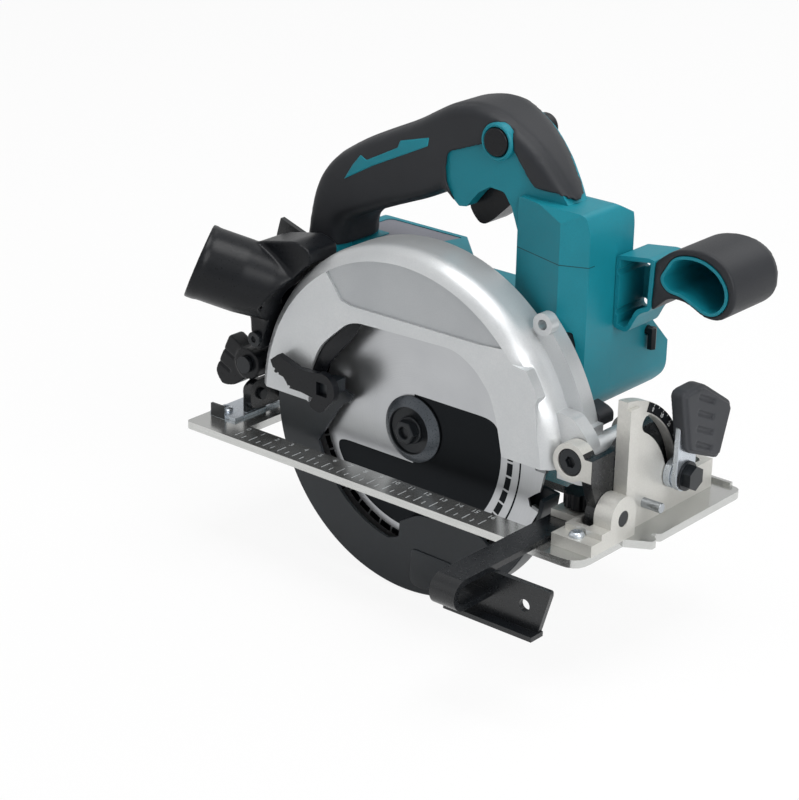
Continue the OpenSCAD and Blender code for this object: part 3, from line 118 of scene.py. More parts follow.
def linear(code: str) -> tuple[float, float, float, float]:
    """Turns an sRGB hex colour into linear RGBA.

    Args:
        code: Six hex digits with or without a leading hash.

    Returns:
        The linear colour with alpha 1.
    """
    digits = code.lstrip("#")
    parts = [int(digits[i : i + 2], 16) / 255 for i in (0, 2, 4)]
    values = [c / 12.92 if c <= 0.04045 else ((c + 0.055) / 1.055) ** 2.4 for c in parts]
    return (values[0], values[1], values[2], 1.0)


def add_node(
    tree: NodeTree, kind: str, inputs: Optional[dict[object, object]] = None, **settings: object
) -> Node:
    """Adds a node with its settings, its plain values and its incoming links.

    Args:
        tree: The node tree that takes the node.
        kind: The node's type name.
        inputs: A socket to join or a plain value, by input name or index.
        **settings: Properties set on the node itself.

    Returns:
        The new node.
    """
    node = tree.nodes.new(kind)
    for key, value in settings.items():
        setattr(node, key, value)
    for key, value in (inputs or {}).items():
        if isinstance(value, NodeSocket):
            tree.links.new(value, node.inputs[key])
        else:
            node.inputs[key].default_value = value
    return node


def calculated(tree: NodeTree, kind: str, *terms: object) -> NodeSocket:
    """Adds a math node of that kind, with sockets or plain numbers as its terms."""
    return add_node(tree, "ShaderNodeMath", dict(enumerate(terms)), operation=kind).outputs[0]


def mixed(tree: NodeTree, share: NodeSocket, under: object, over: object) -> NodeSocket:
    """Mixes two colours, each a socket or a plain value."""
    inputs = {0: share, 6: under, 7: over}
    return add_node(tree, "ShaderNodeMix", inputs, data_type="RGBA").outputs[2]


def ranged(tree: NodeTree, value: NodeSocket, given: Span, wanted: Span) -> NodeSocket:
    """Maps a value from the range that it is given in to the range that is wanted."""
    inputs = dict(enumerate((value, *given, *wanted)))
    return add_node(tree, "ShaderNodeMapRange", inputs).outputs[0]


def place_of(tree: NodeTree) -> Sequence[NodeSocket]:
    """Gives X, Y and Z, in metres, of the point that is shaded."""
    source = add_node(tree, "ShaderNodeTexCoord")
    return add_node(tree, "ShaderNodeSeparateXYZ", {0: source.outputs["Object"]}).outputs


def bare_tree(owner: Material | World) -> NodeTree:
    """Empties the node tree of a material or a world.

    Args:
        owner: The material or the world.

    Returns:
        Its empty node tree.
    """
    owner.use_nodes = True
    owner.node_tree.nodes.clear()
    return owner.node_tree


@dataclass(frozen=True)
class Finish:
    """One real material and the way its surface was made."""

    name: str
    colour: str
    shade: str
    roughness: float
    grain: Grain
    grain_mm: float
    depth_mm: float
    metallic: float = 0.0
    patch_mm: float = 28.0
    patch_detail: float = 3.0
    grain_detail: float = 4.0
    grain_rough: float = 0.6
    spread: float = 0.06
    specular: float = 0.5
    centre: Spot = (0.0, -28.5, 25.5)

    def coordinates(self, tree: NodeTree) -> NodeSocket:
        """Gives the pattern's coordinates, one unit for each grain.

        Args:
            tree: The material's node tree.

        Returns:
            A vector socket.
        """
        step = 1 / (self.grain_mm * MM)
        source = add_node(tree, "ShaderNodeTexCoord")
        stretch = {Grain.ROLLED: (0.03, 1.0, 1.0)}.get(self.grain, (1.0, 1.0, 1.0))
        scale = tuple(step * s for s in stretch)
        if self.grain is not Grain.RADIAL:
            return add_node(
                tree, "ShaderNodeMapping", {0: source.outputs["Object"], "Scale": scale}
            ).outputs[0]
        shift = tuple(-c * MM for c in self.centre)
        moved = add_node(
            tree, "ShaderNodeMapping", {0: source.outputs["Object"], "Location": shift}
        )
        flat = add_node(
            tree,
            "ShaderNodeVectorMath",
            {0: moved.outputs[0], 1: (step, 0.0, step)},
            operation="MULTIPLY",
        )
        radius = add_node(
            tree, "ShaderNodeVectorMath", {0: flat.outputs[0]}, operation="LENGTH"
        )
        return add_node(tree, "ShaderNodeCombineXYZ", {0: radius.outputs["Value"]}).outputs[0]

    def colour_socket(self, tree: NodeTree, fine: NodeSocket) -> NodeSocket:
        """Builds the slow drift between the two colours of the surface.

        Args:
            tree: The material's node tree.
            fine: The grain's own value.

        Returns:
            A colour socket.
        """
        source = add_node(tree, "ShaderNodeTexCoord")
        broad = add_node(
            tree,
            "ShaderNodeTexNoise",
            {
                "Vector": source.outputs["Object"],
                "Scale": 1 / (self.patch_mm * MM),
                "Detail": self.patch_detail,
            },
        )
        both = calculated(tree, "MULTIPLY", broad.outputs["Fac"], fine)
        share = ranged(tree, both, DRIFT_SPAN, (0.0, 1.0))
        return mixed(tree, share, linear(self.shade), linear(self.colour))

    def material(self) -> Material:
        """Builds the material once and gives it back after that.

        Returns:
            The material.
        """
        found = bpy.data.materials.get(self.name)
        if found:
            return found
        made = bpy.data.materials.new(self.name)
        tree = bare_tree(made)
        noise = add_node(
            tree,
            "ShaderNodeTexNoise",
            {
                "Vector": self.coordinates(tree),
                "Scale": 1.0,
                "Detail": self.grain_detail,
                "Roughness": self.grain_rough,
            },
        )
        low = max(self.roughness - self.spread, LEAST_ROUGHNESS)
        high = min(self.roughness + self.spread, 1.0)
        rough = ranged(tree, noise.outputs["Fac"], GRAIN_SPAN, (low, high))
        bump = add_node(
            tree,
            "ShaderNodeBump",
            {"Height": noise.outputs["Fac"], "Strength": 1.0, "Distance": self.depth_mm * MM},
        )
        shader = add_node(
            tree,
            "ShaderNodeBsdfPrincipled",
            {
                "Base Color": self.paint(tree, self.colour_socket(tree, noise.outputs["Fac"])),
                "Roughness": rough,
                "Normal": bump.outputs[0],
                "Metallic": self.metallic,
                "Specular IOR Level": self.specular,
            },
        )
        add_node(tree, "ShaderNodeOutputMaterial", {0: shader.outputs[0]})
        return made

    def paint(self, tree: NodeTree, colour: NodeSocket) -> NodeSocket:
        """Leaves the colour as it is; a printed finish adds its print here."""
        return colour


@dataclass(frozen=True)
class BladePrint(Finish):
    """Ground blade steel with a plain black print about the arbor on its near side."""

    zone: float = 55.0
    shelf: float = 18.5
    corner: float = 12.0
    band: Span = (58.9, 62.3)
    dash_deg: float = 7.3
    dash_share: float = 0.86
    line: Span = (66.3, 67.3)
    ink: str = "#14171A"

    def paint(self, tree: NodeTree, colour: NodeSocket) -> NodeSocket:
        """Prints the black zone, the dashed band and the thin line.

        Args:
            tree: The material's node tree.
            colour: The bare colour.

        Returns:
            The colour with the print.
        """
        calc = partial(calculated, tree)
        px, py, pz = place_of(tree)
        x = calc("MULTIPLY_ADD", px, 1 / MM, -self.centre[0])
        z = calc("MULTIPLY_ADD", pz, 1 / MM, -self.centre[2])
        squares = calc("MULTIPLY_ADD", x, x, calc("MULTIPLY", z, z))
        r = calc("SQRT", squares)
        shelf = calc("MULTIPLY", calc("SIGN", x), self.shelf)
        below = calc("SUBTRACT", z, shelf)
        within = calc("SUBTRACT", r, self.zone)
        zone = calc("LESS_THAN", calc("SMOOTH_MAX", below, within, self.corner), 0.0)
        angle = calc("MULTIPLY", calc("ARCTAN2", z, x), 180 / math.pi / self.dash_deg)
        dash = calc("LESS_THAN", calc("FRACT", angle), self.dash_share)

        def between(low: float, high: float) -> NodeSocket:
            above = calc("GREATER_THAN", r, low)
            return calc("MULTIPLY", above, calc("LESS_THAN", r, high))

        band = calc("MULTIPLY", between(*self.band), dash)
        total = calc("ADD", calc("ADD", zone, band), between(*self.line))
        near = calc("LESS_THAN", py, (self.centre[1] - 0.5) * MM)
        share = calc("MULTIPLY", calc("MINIMUM", total, 1.0), near)
        return mixed(tree, share, colour, linear(self.ink))


@dataclass(frozen=True)
class Seamed(Finish):
    """Moulded plastic with the fine shadow of a seam between two mouldings."""

    height: float = 124.6
    from_x: float = 38.0
    until_y: float = -4.0
    width: float = 0.45
    shadow: str = "#0B3B42"

    def paint(self, tree: NodeTree, colour: NodeSocket) -> NodeSocket:
        """Darkens the seam that goes round the near front corner of the column.

        Args:
            tree: The material's node tree.
            colour: The bare colour.

        Returns:
            The colour with the seam.
        """
        px, py, pz = place_of(tree)
        calc = partial(calculated, tree)
        level = calc("COMPARE", pz, self.height * MM, self.width * MM / 2)
        ahead = calc("GREATER_THAN", px, self.from_x * MM)
        near = calc("LESS_THAN", py, self.until_y * MM)
        share = calc("MULTIPLY", calc("MULTIPLY", level, ahead), near)
        return mixed(tree, share, colour, linear(self.shadow))


# Glass-filled nylon housing: mould grain finer than half a millimetre gives a soft, even sheen.
NYLON_TEAL = Finish(
    "glass_filled_nylon_teal",
    "#148393",
    "#117887",
    0.46,
    Grain.MOULDED,
    0.7,
    0.008,
    specular=0.3,
)
# Thermoplastic elastomer overmould: a dry, matt grey-black with a fine tooth.
ELASTOMER = Finish(
    "thermoplastic_elastomer_overmould",
    "#25272B",
    "#1E2024",
    0.5,
    Grain.MOULDED,
    0.6,
    0.015,
    specular=0.32,
)
# ABS mouldings, black: polished tool, so broad soft highlights.
ABS_BLACK = Finish(
    "abs_black", "#14161A", "#101215", 0.32, Grain.SMOOTH, 1.2, 0.003, specular=0.22
)
# Enamelled aluminium of the lower guard: an even blue-black with a soft shine.
GUARD_BLACK = Finish(
    "enamelled_aluminium_blue_black",
    "#21262B",
    "#1D2226",
    0.3,
    Grain.SMOOTH,
    2.5,
    0.001,
    spread=0.02,
    specular=0.34,
)
# Die-cast aluminium blade case with silver lacquer: satin with a slight flake.
CAST_SILVER = Finish(
    "silver_lacquered_die_cast_aluminium",
    "#CED0D1",
    "#C2C5C7",
    0.36,
    Grain.CAST,
    0.8,
    0.01,
    metallic=0.55,
)
# The guard's sunk panel: the same lacquer, darker as painted shade, and satin.
CAST_PANEL_SHADED = Finish(
    "silver_lacquered_aluminium_painted_shade",
    "#B2B5B7",
    "#A7AAAD",
    0.4,
    Grain.CAST,
    0.8,
    0.006,
    metallic=0.55,
)
# Bare die-cast aluminium bracket: tumbled, a little yellow, with a fine pebble.
CAST_BARE = Finish(
    "tumbled_die_cast_aluminium", "#D3D2CD", "#C4C3BE", 0.38, Grain.CAST, 0.9, 0.01, metallic=0.5
)
# Rolled aluminium sole: bright sheet with faint lines along the cut.
ROLLED = Finish(
    "rolled_aluminium_sheet",
    "#CFD0CE",
    "#C2C3C1",
    0.2,
    Grain.ROLLED,
    0.8,
    0.0008,
    metallic=0.9,
    spread=0.04,
)
# Zinc-plated pressed steel: bright, slightly blue, uneven from the barrel.
ZINC = Finish(
    "zinc_plated_steel", "#C9CFD6", "#BEC5CC", 0.3, Grain.PLATED, 2.5, 0.0005, metallic=0.8
)
# Black oxide on steel bolts and flanges: dark, oily, with soft edges to the shine.
BLACK_OXIDE = Finish(
    "black_oxide_steel", "#1F2327", "#181B1F", 0.34, Grain.PLATED, 0.9, 0.003, metallic=0.35
)
# Turned cone of the flange: the same oxide, lighter as a painted highlight, and a little less
# rough.
OXIDE_CONE_HIGHLIGHT = Finish(
    "black_oxide_steel_painted_highlight", "#4A5056", "#464B51", 0.3, Grain.PLATED, 0.9, 0.0005, metallic=0.3
)
# Powder-coated pressed steel of the fence, the depth guide and the bevel plate: near black.
POWDER = Finish(
    "powder_coated_steel", "#15181B", "#131518", 0.28, Grain.COATED, 2.2, 0.0003, spread=0.015
)
# Ground tool steel of the spindle, pins and bearings.
GROUND = Finish(
    "ground_tool_steel", "#B4B8BC", "#A2A7AC", 0.2, Grain.PLATED, 1.0, 0.003, metallic=0.95
)
# Tungsten carbide of the saw tips: grey and dull beside the steel.
CARBIDE = Finish(
    "tungsten_carbide", "#8B8D8F", "#77797B", 0.4, Grain.CAST, 0.5, 0.01, metallic=0.8
)
# Silicon steel laminations of the stator.
LAMINATION = Finish(
    "silicon_steel_laminations", "#6C6A66", "#5A5855", 0.5, Grain.CAST, 0.5, 0.02, metallic=0.7
)
# Epoxy board of the controller.
BOARD = Finish("epoxy_glass_board", "#2F5D50", "#274E43", 0.45, Grain.SMOOTH, 1.0, 0.01)
# Vinyl rating plate: flat grey film, bare.
VINYL = Finish("vinyl_film_grey", "#73757F", "#6A6C76", 0.4, Grain.SMOOTH, 1.0, 0.004)
# Clear polycarbonate lens of the work light.
LENS = Finish("polycarbonate_lens", "#7E868B", "#71797E", 0.12, Grain.SMOOTH, 2.0, 0.002)
# White pad print of the scales.
PAD_PRINT = Finish("white_pad_print", "#E4E6E6", "#D6D9D9", 0.5, Grain.SMOOTH, 1.0, 0.002)
# Pale laser etch of the sole's scale.
ETCH = Finish("etched_scale_grey", "#B9BDBE", "#A9ADAF", 0.6, Grain.SMOOTH, 1.0, 0.002)


# The same nylon where two mouldings of the column meet.
SEAMED_TEAL = Seamed(
    "glass_filled_nylon_teal_seamed",
    "#148393",
    "#117887",
    0.46,
    Grain.MOULDED,
    0.7,
    0.008,
    specular=0.3,
)
# Ground tool steel of the blade, with a bare black print.
PRINTED_BLADE = BladePrint(
    "ground_blade_steel_printed",
    "#BFC1C3",
    "#B2B4B7",
    0.3,
    Grain.RADIAL,
    0.5,
    0.0006,
    metallic=0.9,
    spread=0.03,
)
# Dark grey elastomer of the clamp lever, a little lighter than the handle's.
SOFT_GREY = Finish(
    "thermoplastic_elastomer_grey",
    "#383A3E",
    "#303236",
    0.55,
    Grain.MOULDED,
    0.6,
    0.015,
    specular=0.3,
)


# ---- meshes ------------------------------------------------------------------------------


def arc_corners(points: Sequence[Corner], steps: int = 8) -> list[Point]:
    """Rounds each corner of an outline by its own length.

    Args:
        points: Corners as (u, v, rounding), in millimetres.
        steps: Segments in each rounded corner.

    Returns:
        The rounded outline in millimetres.
    """
    out: list[Point] = []
    count = len(points)
    for i, (u, v, r) in enumerate(points):
        b = np.array((u, v))
        before = np.array(points[i - 1][:2]) - b
        after = np.array(points[(i + 1) % count][:2]) - b
        la, lb = np.linalg.norm(before), np.linalg.norm(after)
        size = min(r, la * 0.48, lb * 0.48)
        if size <= 0.01:
            out.append((float(u), float(v)))
            continue
        p, q = b + before / la * size, b + after / lb * size
        for k in range(steps + 1):
            s = k / steps
            c = (1 - s) ** 2 * p + 2 * s * (1 - s) * b + s * s * q
            out.append((float(c[0]), float(c[1])))
    return out


def linked(name: str, data: ID) -> Object:
    """Makes an object of its data and puts it in the scene.

    Args:
        name: The object's name.
        data: Its mesh, text, lamp or camera.

    Returns:
        The object, at the origin.
    """
    made = bpy.data.objects.new(name, data)
    bpy.context.scene.collection.objects.link(made)
    return made


def mesh_object(
    name: str, verts: Sequence[Sequence[float]], faces: Sequence[Sequence[int]]
) -> Object:
    """Makes a closed mesh object from millimetre points, with its faces turned outwards.

    Args:
        name: The piece's name.
        verts: Points in millimetres.
        faces: Corner numbers of each face.

    Returns:
        The object, at the origin.
    """
    mesh = bpy.data.meshes.new(name)
    mesh.from_pydata([[c * MM for c in v] for v in verts], [], [list(f) for f in faces])
    bm = bmesh.new()
    bm.from_mesh(mesh)
    bmesh.ops.remove_doubles(bm, verts=bm.verts, dist=WELD_M)
    bmesh.ops.recalc_face_normals(bm, faces=bm.faces)
    bm.to_mesh(mesh)
    bm.free()
    return linked(name, mesh)


def own_mesh(obj: Object) -> Mesh:
    """Turns an object's modifiers into its own mesh.

    Args:
        obj: The object, left with no modifiers.

    Returns:
        The object's new mesh.
    """
    graph = bpy.context.evaluated_depsgraph_get()
    graph.update()
    baked = bpy.data.meshes.new_from_object(obj.evaluated_get(graph), depsgraph=graph)
    obj.modifiers.clear()
    old = obj.data
    obj.data = baked
    if old.users == 0:
        bpy.data.meshes.remove(old)
    return baked


def settle(obj: Object, smooth_angle: float) -> Object:
    """Turns an object's modifiers into its own mesh and shades it.

    Args:
        obj: The object.
        smooth_angle: Edges sharper than this many degrees stay sharp.

    Returns:
        The same object, with a plain mesh and no modifiers.
    """
    baked = own_mesh(obj)
    for face in baked.polygons:
        face.use_smooth = True
    baked.set_sharp_from_angle(angle=math.radians(smooth_angle))
    return obj


def dressed(
    obj: Object,
    finish: Finish,
    body: str,
    nodes: Sequence[str] = (),
) -> Object:
    """Gives a finished piece its material, its body and the nodes that it stands for.

    Args:
        obj: The piece.
        finish: Its finish.
        body: The body that it rides on.
        nodes: Nodes that it replaces.

    Returns:
        The same object.
    """
    obj.data.materials.clear()
    obj.data.materials.append(finish.material())
    for face in obj.data.polygons:
        face.material_index = 0
    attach(obj, body)
    if nodes:
        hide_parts(*nodes)
    return obj


def node_copy(name: str, node: str, flat_deg: float = 0.4) -> Object:
    """Copies a node's mesh, with its corners merged and its flat faces made whole.

    Args:
        name: The copy's name.
        node: The node to copy.
        flat_deg: Faces within this angle become one.

    Returns:
        The copy.
    """
    source = frame["nodes"][node]
    made = linked(name, source.data.copy())
    bm = bmesh.new()
    bm.from_mesh(made.data)
    bmesh.ops.remove_doubles(bm, verts=bm.verts, dist=COPY_WELD_M)
    bmesh.ops.dissolve_degenerate(bm, edges=bm.edges, dist=WELD_M)
    bmesh.ops.dissolve_limit(
        bm,
        angle_limit=math.radians(flat_deg),
        use_dissolve_boundaries=False,
        verts=bm.verts,
        edges=bm.edges,
    )
    bm.to_mesh(made.data)
    bm.free()
    return made


def eased(obj: Object, width_mm: float, from_deg: float) -> None:
    """Eases the sharp edges of an object with a modifier.

    Args:
        obj: The object.
        width_mm: Width of the eased edge.
        from_deg: Only edges sharper than this are eased.
    """
    bevel = obj.modifiers.new("ease", "BEVEL")
    bevel.width = width_mm * MM
    bevel.segments = 2
    bevel.limit_method = "ANGLE"
    bevel.angle_limit = math.radians(from_deg)
    bevel.use_clamp_overlap = True


def softened(name: str, node: str, width_mm: float) -> Object:
    """Copies a node and eases its edges, as tumbling, moulding or plating does.

    Args:
        name: The piece's name.
        node: The node to copy.
        width_mm: Width of the eased edge.

    Returns:
        The piece, with no modifiers left.
    """
    made = node_copy(name, node)
    eased(made, width_mm, EASED_FROM_DEG)
    settle(made, EASED_SHARP)
    level = made.modifiers.new("level", "WEIGHTED_NORMAL")
    level.mode = "FACE_AREA"
    level.weight = 100
    level.keep_sharp = True
    own_mesh(made)
    return made


def reshaped(name: str, node: str, voxel_mm: float, rounds: int) -> Object:
    """Copies a node as a fine even mesh and relaxes it, so that its forms flow together.

    Args:
        name: The piece's name.
        node: The node to copy.
        voxel_mm: Cell size of the even mesh.
        rounds: Smoothing passes.

    Returns:
        The piece, with no modifiers left.
    """
    made = node_copy(name, node, 0.01)
    remesh = made.modifiers.new("even", "REMESH")
    remesh.mode = "VOXEL"
    remesh.voxel_size = voxel_mm * MM
    smooth = made.modifiers.new("relax", "SMOOTH")
    smooth.factor = RELAX_FACTOR
    smooth.iterations = rounds
    settle(made, FLOWING_SHARP)
    low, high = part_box(node)
    co = np.empty(len(made.data.vertices) * 3)
    made.data.vertices.foreach_get("co", co)
    co = np.clip(co.reshape(-1, 3), np.array(low), np.array(high))
    made.data.vertices.foreach_set("co", co.ravel())
    return made


def away_from(points: np.ndarray, loop: np.ndarray) -> np.ndarray:
    """Measures how far points are from a closed outline.

    Args:
        points: Rows of (u, v).
        loop: The outline.

    Returns:
        One distance for each point.
    """
    a = loop
    ab = np.roll(loop, -1, axis=0) - a
    size = np.maximum((ab**2).sum(1), 1e-12)
    best = np.full(len(points), 1e9)
    for start in range(0, len(points), 2000):
        p = points[start : start + 2000, None, :]
        t = np.clip(((p - a) * ab).sum(2) / size, 0, 1)
        gap = np.linalg.norm(p - (a + t[..., None] * ab), axis=2)
        best[start : start + 2000] = gap.min(1)
    return best


def inside(points: np.ndarray, loop: np.ndarray) -> np.ndarray:
    """Tells which points lie inside a closed outline.

    Args:
        points: Rows of (u, v).
        loop: The outline.

    Returns:
        One truth value for each point.
    """
    x, y = points[:, 0, None], points[:, 1, None]
    x0, y0 = loop[:, 0], loop[:, 1]
    x1, y1 = np.roll(x0, -1), np.roll(y0, -1)
    span = np.where(np.abs(y1 - y0) < 1e-12, 1e-12, y1 - y0)
    crossed = ((y0 > y) != (y1 > y)) & (x < x0 + (y - y0) * (x1 - x0) / span)
    return crossed.sum(1) % 2 == 1


def resampled(loop: Sequence[Point], step: float) -> np.ndarray:
    """Splits the long edges of an outline.

    Args:
        loop: The outline.
        step: Longest edge, in millimetres.

    Returns:
        The outline with more points.
    """
    out: list[np.ndarray] = []
    pts = np.array(loop, float)
    for i, p in enumerate(pts):
        q = pts[(i + 1) % len(pts)]
        gap = float(np.linalg.norm(q - p))
        if gap < 1e-6:
            continue
        n = max(1, math.ceil(gap / step))
        out.extend(p + (q - p) * k / n for k in range(n))
    return np.array(out)


def rounding(depth: np.ndarray, half: float, drop: float, reach: float) -> np.ndarray:
    """Gives the half width of a form whose edge is rounded as a quarter of an ellipse.

    Args:
        depth: Distance from the edge.
        half: Half width away from the edge.
        drop: How much of it the rounding takes.
        reach: How far in the rounding goes.

    Returns:
        The half width at each depth.
    """
    s = 1 - np.clip(depth / reach, 0, 1)
    return half - drop + drop * (1 - s**2) ** 0.5


@dataclass
class Slab:
    """A closed form between two height fields over an outline in X and Z.

    Attributes:
        outline: The outer outline.
        step: Size of the mesh.
        rings: Depths from the outline where the mesh has rows.
        apart: Least distance between two of its points.
    """

    outline: Sequence[Point]
    step: float = 1.2
    rings: Sequence[float] = (0.3, 0.8)
    apart: float = 0.35

    def points(self) -> tuple[np.ndarray, np.ndarray]:
        """Lays out the mesh's points.

        Returns:
            The points of the outline, and all points with those first.
        """
        loop = resampled(self.outline, self.step)

        def kept(cand: np.ndarray, gap: float) -> np.ndarray:
            return cand[inside(cand, loop) & (away_from(cand, loop) > gap)]

        ahead = np.roll(loop, -1, axis=0) - np.roll(loop, 1, axis=0)
        ahead /= np.maximum(np.linalg.norm(ahead, axis=1), 1e-9)[:, None]
        normal = np.stack([-ahead[:, 1], ahead[:, 0]], 1)
        extra: list[np.ndarray] = []
        for depth in self.rings:
            for side in (1, -1):
                cand = loop + normal * depth * side
                good = np.abs(away_from(cand, loop) - depth) < 0.04 * depth
                extra.append(kept(cand[good], depth * 0.9))
        low, high = loop.min(0), loop.max(0)
        xs = np.arange(low[0], high[0], self.step)
        zs = np.arange(low[1], high[1], self.step * 0.87)
        grid = np.array(
            [(x + (k % 2) * self.step / 2, z) for k, z in enumerate(zs) for x in xs]
        )
        extra.append(kept(grid, self.rings[-1] + self.step * 0.3))
        chosen: dict[tuple[int, int], np.ndarray] = {}
        for cand in extra:
            for p in cand:
                chosen.setdefault((round(p[0] / self.apart), round(p[1] / self.apart)), p)
        return loop, np.vstack([loop, *chosen.values()])

    def build(self, name: str, near: Height, far: Height) -> Object:
        """Builds the form.

        Args:
            name: The piece's name.
            near: Gives Y of the face toward -Y at each point.
            far: Gives Y of the face toward +Y at each point.

        Returns:
            The piece.
        """
        loop, every = self.points()
        edges = [(k, (k + 1) % len(loop)) for k in range(len(loop))]
        cdt = delaunay_2d_cdt([Vector(p) for p in every], edges, [], 0, 1e-6)
        flat = np.array([tuple(p) for p in cdt[0]])
        tris = np.array([t for t in cdt[2] if len(t) == 3])
        tris = tris[inside(flat[tris].mean(1), loop)]
        y0, y1 = near(flat), far(flat)
        n = len(flat)
        verts = [(p[0], y, p[1]) for p, y in zip(flat, y0)]
        verts += [(p[0], y, p[1]) for p, y in zip(flat, y1)]
        faces = [tuple(int(i) for i in t) for t in tris]
        faces += [tuple(int(i) + n for i in reversed(t)) for t in tris]
        uses: dict[tuple[int, int], int] = {}
        for t in tris:
            for a, b in ((t[0], t[1]), (t[1], t[2]), (t[2], t[0])):
                key = (int(min(a, b)), int(max(a, b)))
                uses[key] = uses.get(key, 0) + 1
        faces += [(a, b, b + n, a + n) for (a, b), k in uses.items() if k == 1]
        used = sorted({i for f in faces for i in f})
        index = {old: new for new, old in enumerate(used)}
        return mesh_object(
            name, [verts[i] for i in used], [[index[i] for i in f] for f in faces]
        )


def turned(
    name: str,
    profile: Sequence[tuple[float, float, int]],
    steps: int = 48,
    bore: bool = False,
) -> Object:
    """Turns a closed form about Z whose rings may be round, many-sided or a cross.

    Args:
        name: The piece's name.
        profile: Rings as (radius, height, sides), from the bottom up and back down inside;
            0 sides is round and -4 is a cross.
        steps: Points in each ring.
        bore: Whether the last ring joins the first, which leaves a hole through the form.

    Returns:
        The form.
    """

    def reach(angle: float, radius: float, sides: int) -> float:
        if sides > 0:
            part = math.pi / sides
            return radius * math.cos(part) / math.cos((angle % (2 * part)) - part)
        if sides < 0:
            arm = max(abs(math.cos(angle)), abs(math.sin(angle)))
            return radius * (0.36 + 0.64 * arm**14)
        return radius

    verts: list[tuple[float, float, float]] = []
    for radius, height, sides in profile:
        for k in range(steps):
            a = 2 * math.pi * k / steps
            r = reach(a, radius, sides)
            verts.append((r * math.cos(a), r * math.sin(a), height))
    rows = len(profile)
    faces: list[tuple[int, ...]] = []
    for row in range(rows if bore else rows - 1):
        a, b = row * steps, (row + 1) % rows * steps
        for k in range(steps):
            n = (k + 1) % steps
            faces.append((a + k, a + n, b + n, b + k))
    if not bore:
        for start, height in ((0, profile[0][1]), ((rows - 1) * steps, profile[-1][1])):
            verts.append((0.0, 0.0, height))
            tip = len(verts) - 1
            faces += [(tip, start + (k + 1) % steps, start + k) for k in range(steps)]
    return settle(mesh_object(name, verts, faces), TURNED_SHARP)


def prism(
    name: str, outline: Sequence[Point], low: float, high: float, ease: float, along: str = "Y"
) -> Object:
    """Extrudes an outline and eases its edges.

    Args:
        name: The piece's name.
        outline: Points as (x, z) along Y, (y, z) along X or (x, y) along Z.
        low: Start of the extrusion in millimetres.
        high: End of the extrusion in millimetres.
        ease: Width of the eased edge.
        along: The axis of the extrusion.

    Returns:
        The piece.
    """
    place = {
        "X": lambda p, t: (t, p[0], p[1]),
        "Y": lambda p, t: (p[0], t, p[1]),
        "Z": lambda p, t: (p[0], p[1], t),
    }[along]
    n = len(outline)
    verts = [place(p, low) for p in outline] + [place(p, high) for p in outline]
    faces: list[tuple[int, ...]] = [tuple(range(n)), tuple(reversed(range(n, 2 * n)))]
    faces += [(k, (k + 1) % n, (k + 1) % n + n, k + n) for k in range(n)]
    made = mesh_object(name, verts, faces)
    if ease > 0:
        eased(made, ease, PRISM_EASED_FROM_DEG)
    return settle(made, PRISM_SHARP)


@dataclass(frozen=True)
class Place:
    """Where one repeated item goes: its point, its turn in degrees and its size."""

    at: Spot
    turn: Spot = (0.0, 0.0, 0.0)
    size: Spot = (1.0, 1.0, 1.0)


def items_tree() -> NodeTree:
    """Builds, once, the node tree that puts an item on each point of a mesh.

    Returns:
        A tree with the inputs Item, Material, Uneven and Seed.
    """
    found = bpy.data.node_groups.get("items_on_points")
    if found:
        return found
    tree = bpy.data.node_groups.new("items_on_points", "GeometryNodeTree")
    for name, kind in (
        ("Points", "NodeSocketGeometry"),
        ("Item", "NodeSocketObject"),
        ("Material", "NodeSocketMaterial"),
        ("Uneven", "NodeSocketFloat"),
        ("Seed", "NodeSocketInt"),
    ):
        tree.interface.new_socket(name, in_out="INPUT", socket_type=kind)
    tree.interface.new_socket("Geometry", in_out="OUTPUT", socket_type="NodeSocketGeometry")
    given = add_node(tree, "NodeGroupInput").outputs
    item = add_node(tree, "GeometryNodeObjectInfo", {"Object": given["Item"]})
    turn, size = (
        add_node(
            tree, "GeometryNodeInputNamedAttribute", {"Name": name}, data_type="FLOAT_VECTOR"
        )
        for name in ("turn", "size")
    )
    placed = add_node(
        tree,
        "GeometryNodeInstanceOnPoints",
        {
            "Points": given["Points"],
            "Instance": item.outputs["Geometry"],
            "Rotation": turn.outputs["Attribute"],
            "Scale": size.outputs["Attribute"],
        },
    )
    chance = add_node(
        tree,
        "FunctionNodeRandomValue",
        {3: given["Uneven"], "Seed": given["Seed"], 2: 0.0},
        data_type="FLOAT",
    )
    spin = add_node(tree, "ShaderNodeCombineXYZ", {2: chance.outputs[1]})
    spun = add_node(
        tree,
        "GeometryNodeRotateInstances",
        {"Instances": placed.outputs[0], "Rotation": spin.outputs[0]},
    )
    real = add_node(tree, "GeometryNodeRealizeInstances", {0: spun.outputs[0]})
    painted = add_node(
        tree,
        "GeometryNodeSetMaterial",
        {"Geometry": real.outputs[0], "Material": given["Material"]},
    )
    add_node(tree, "NodeGroupOutput", {0: painted.outputs[0]})
    return tree


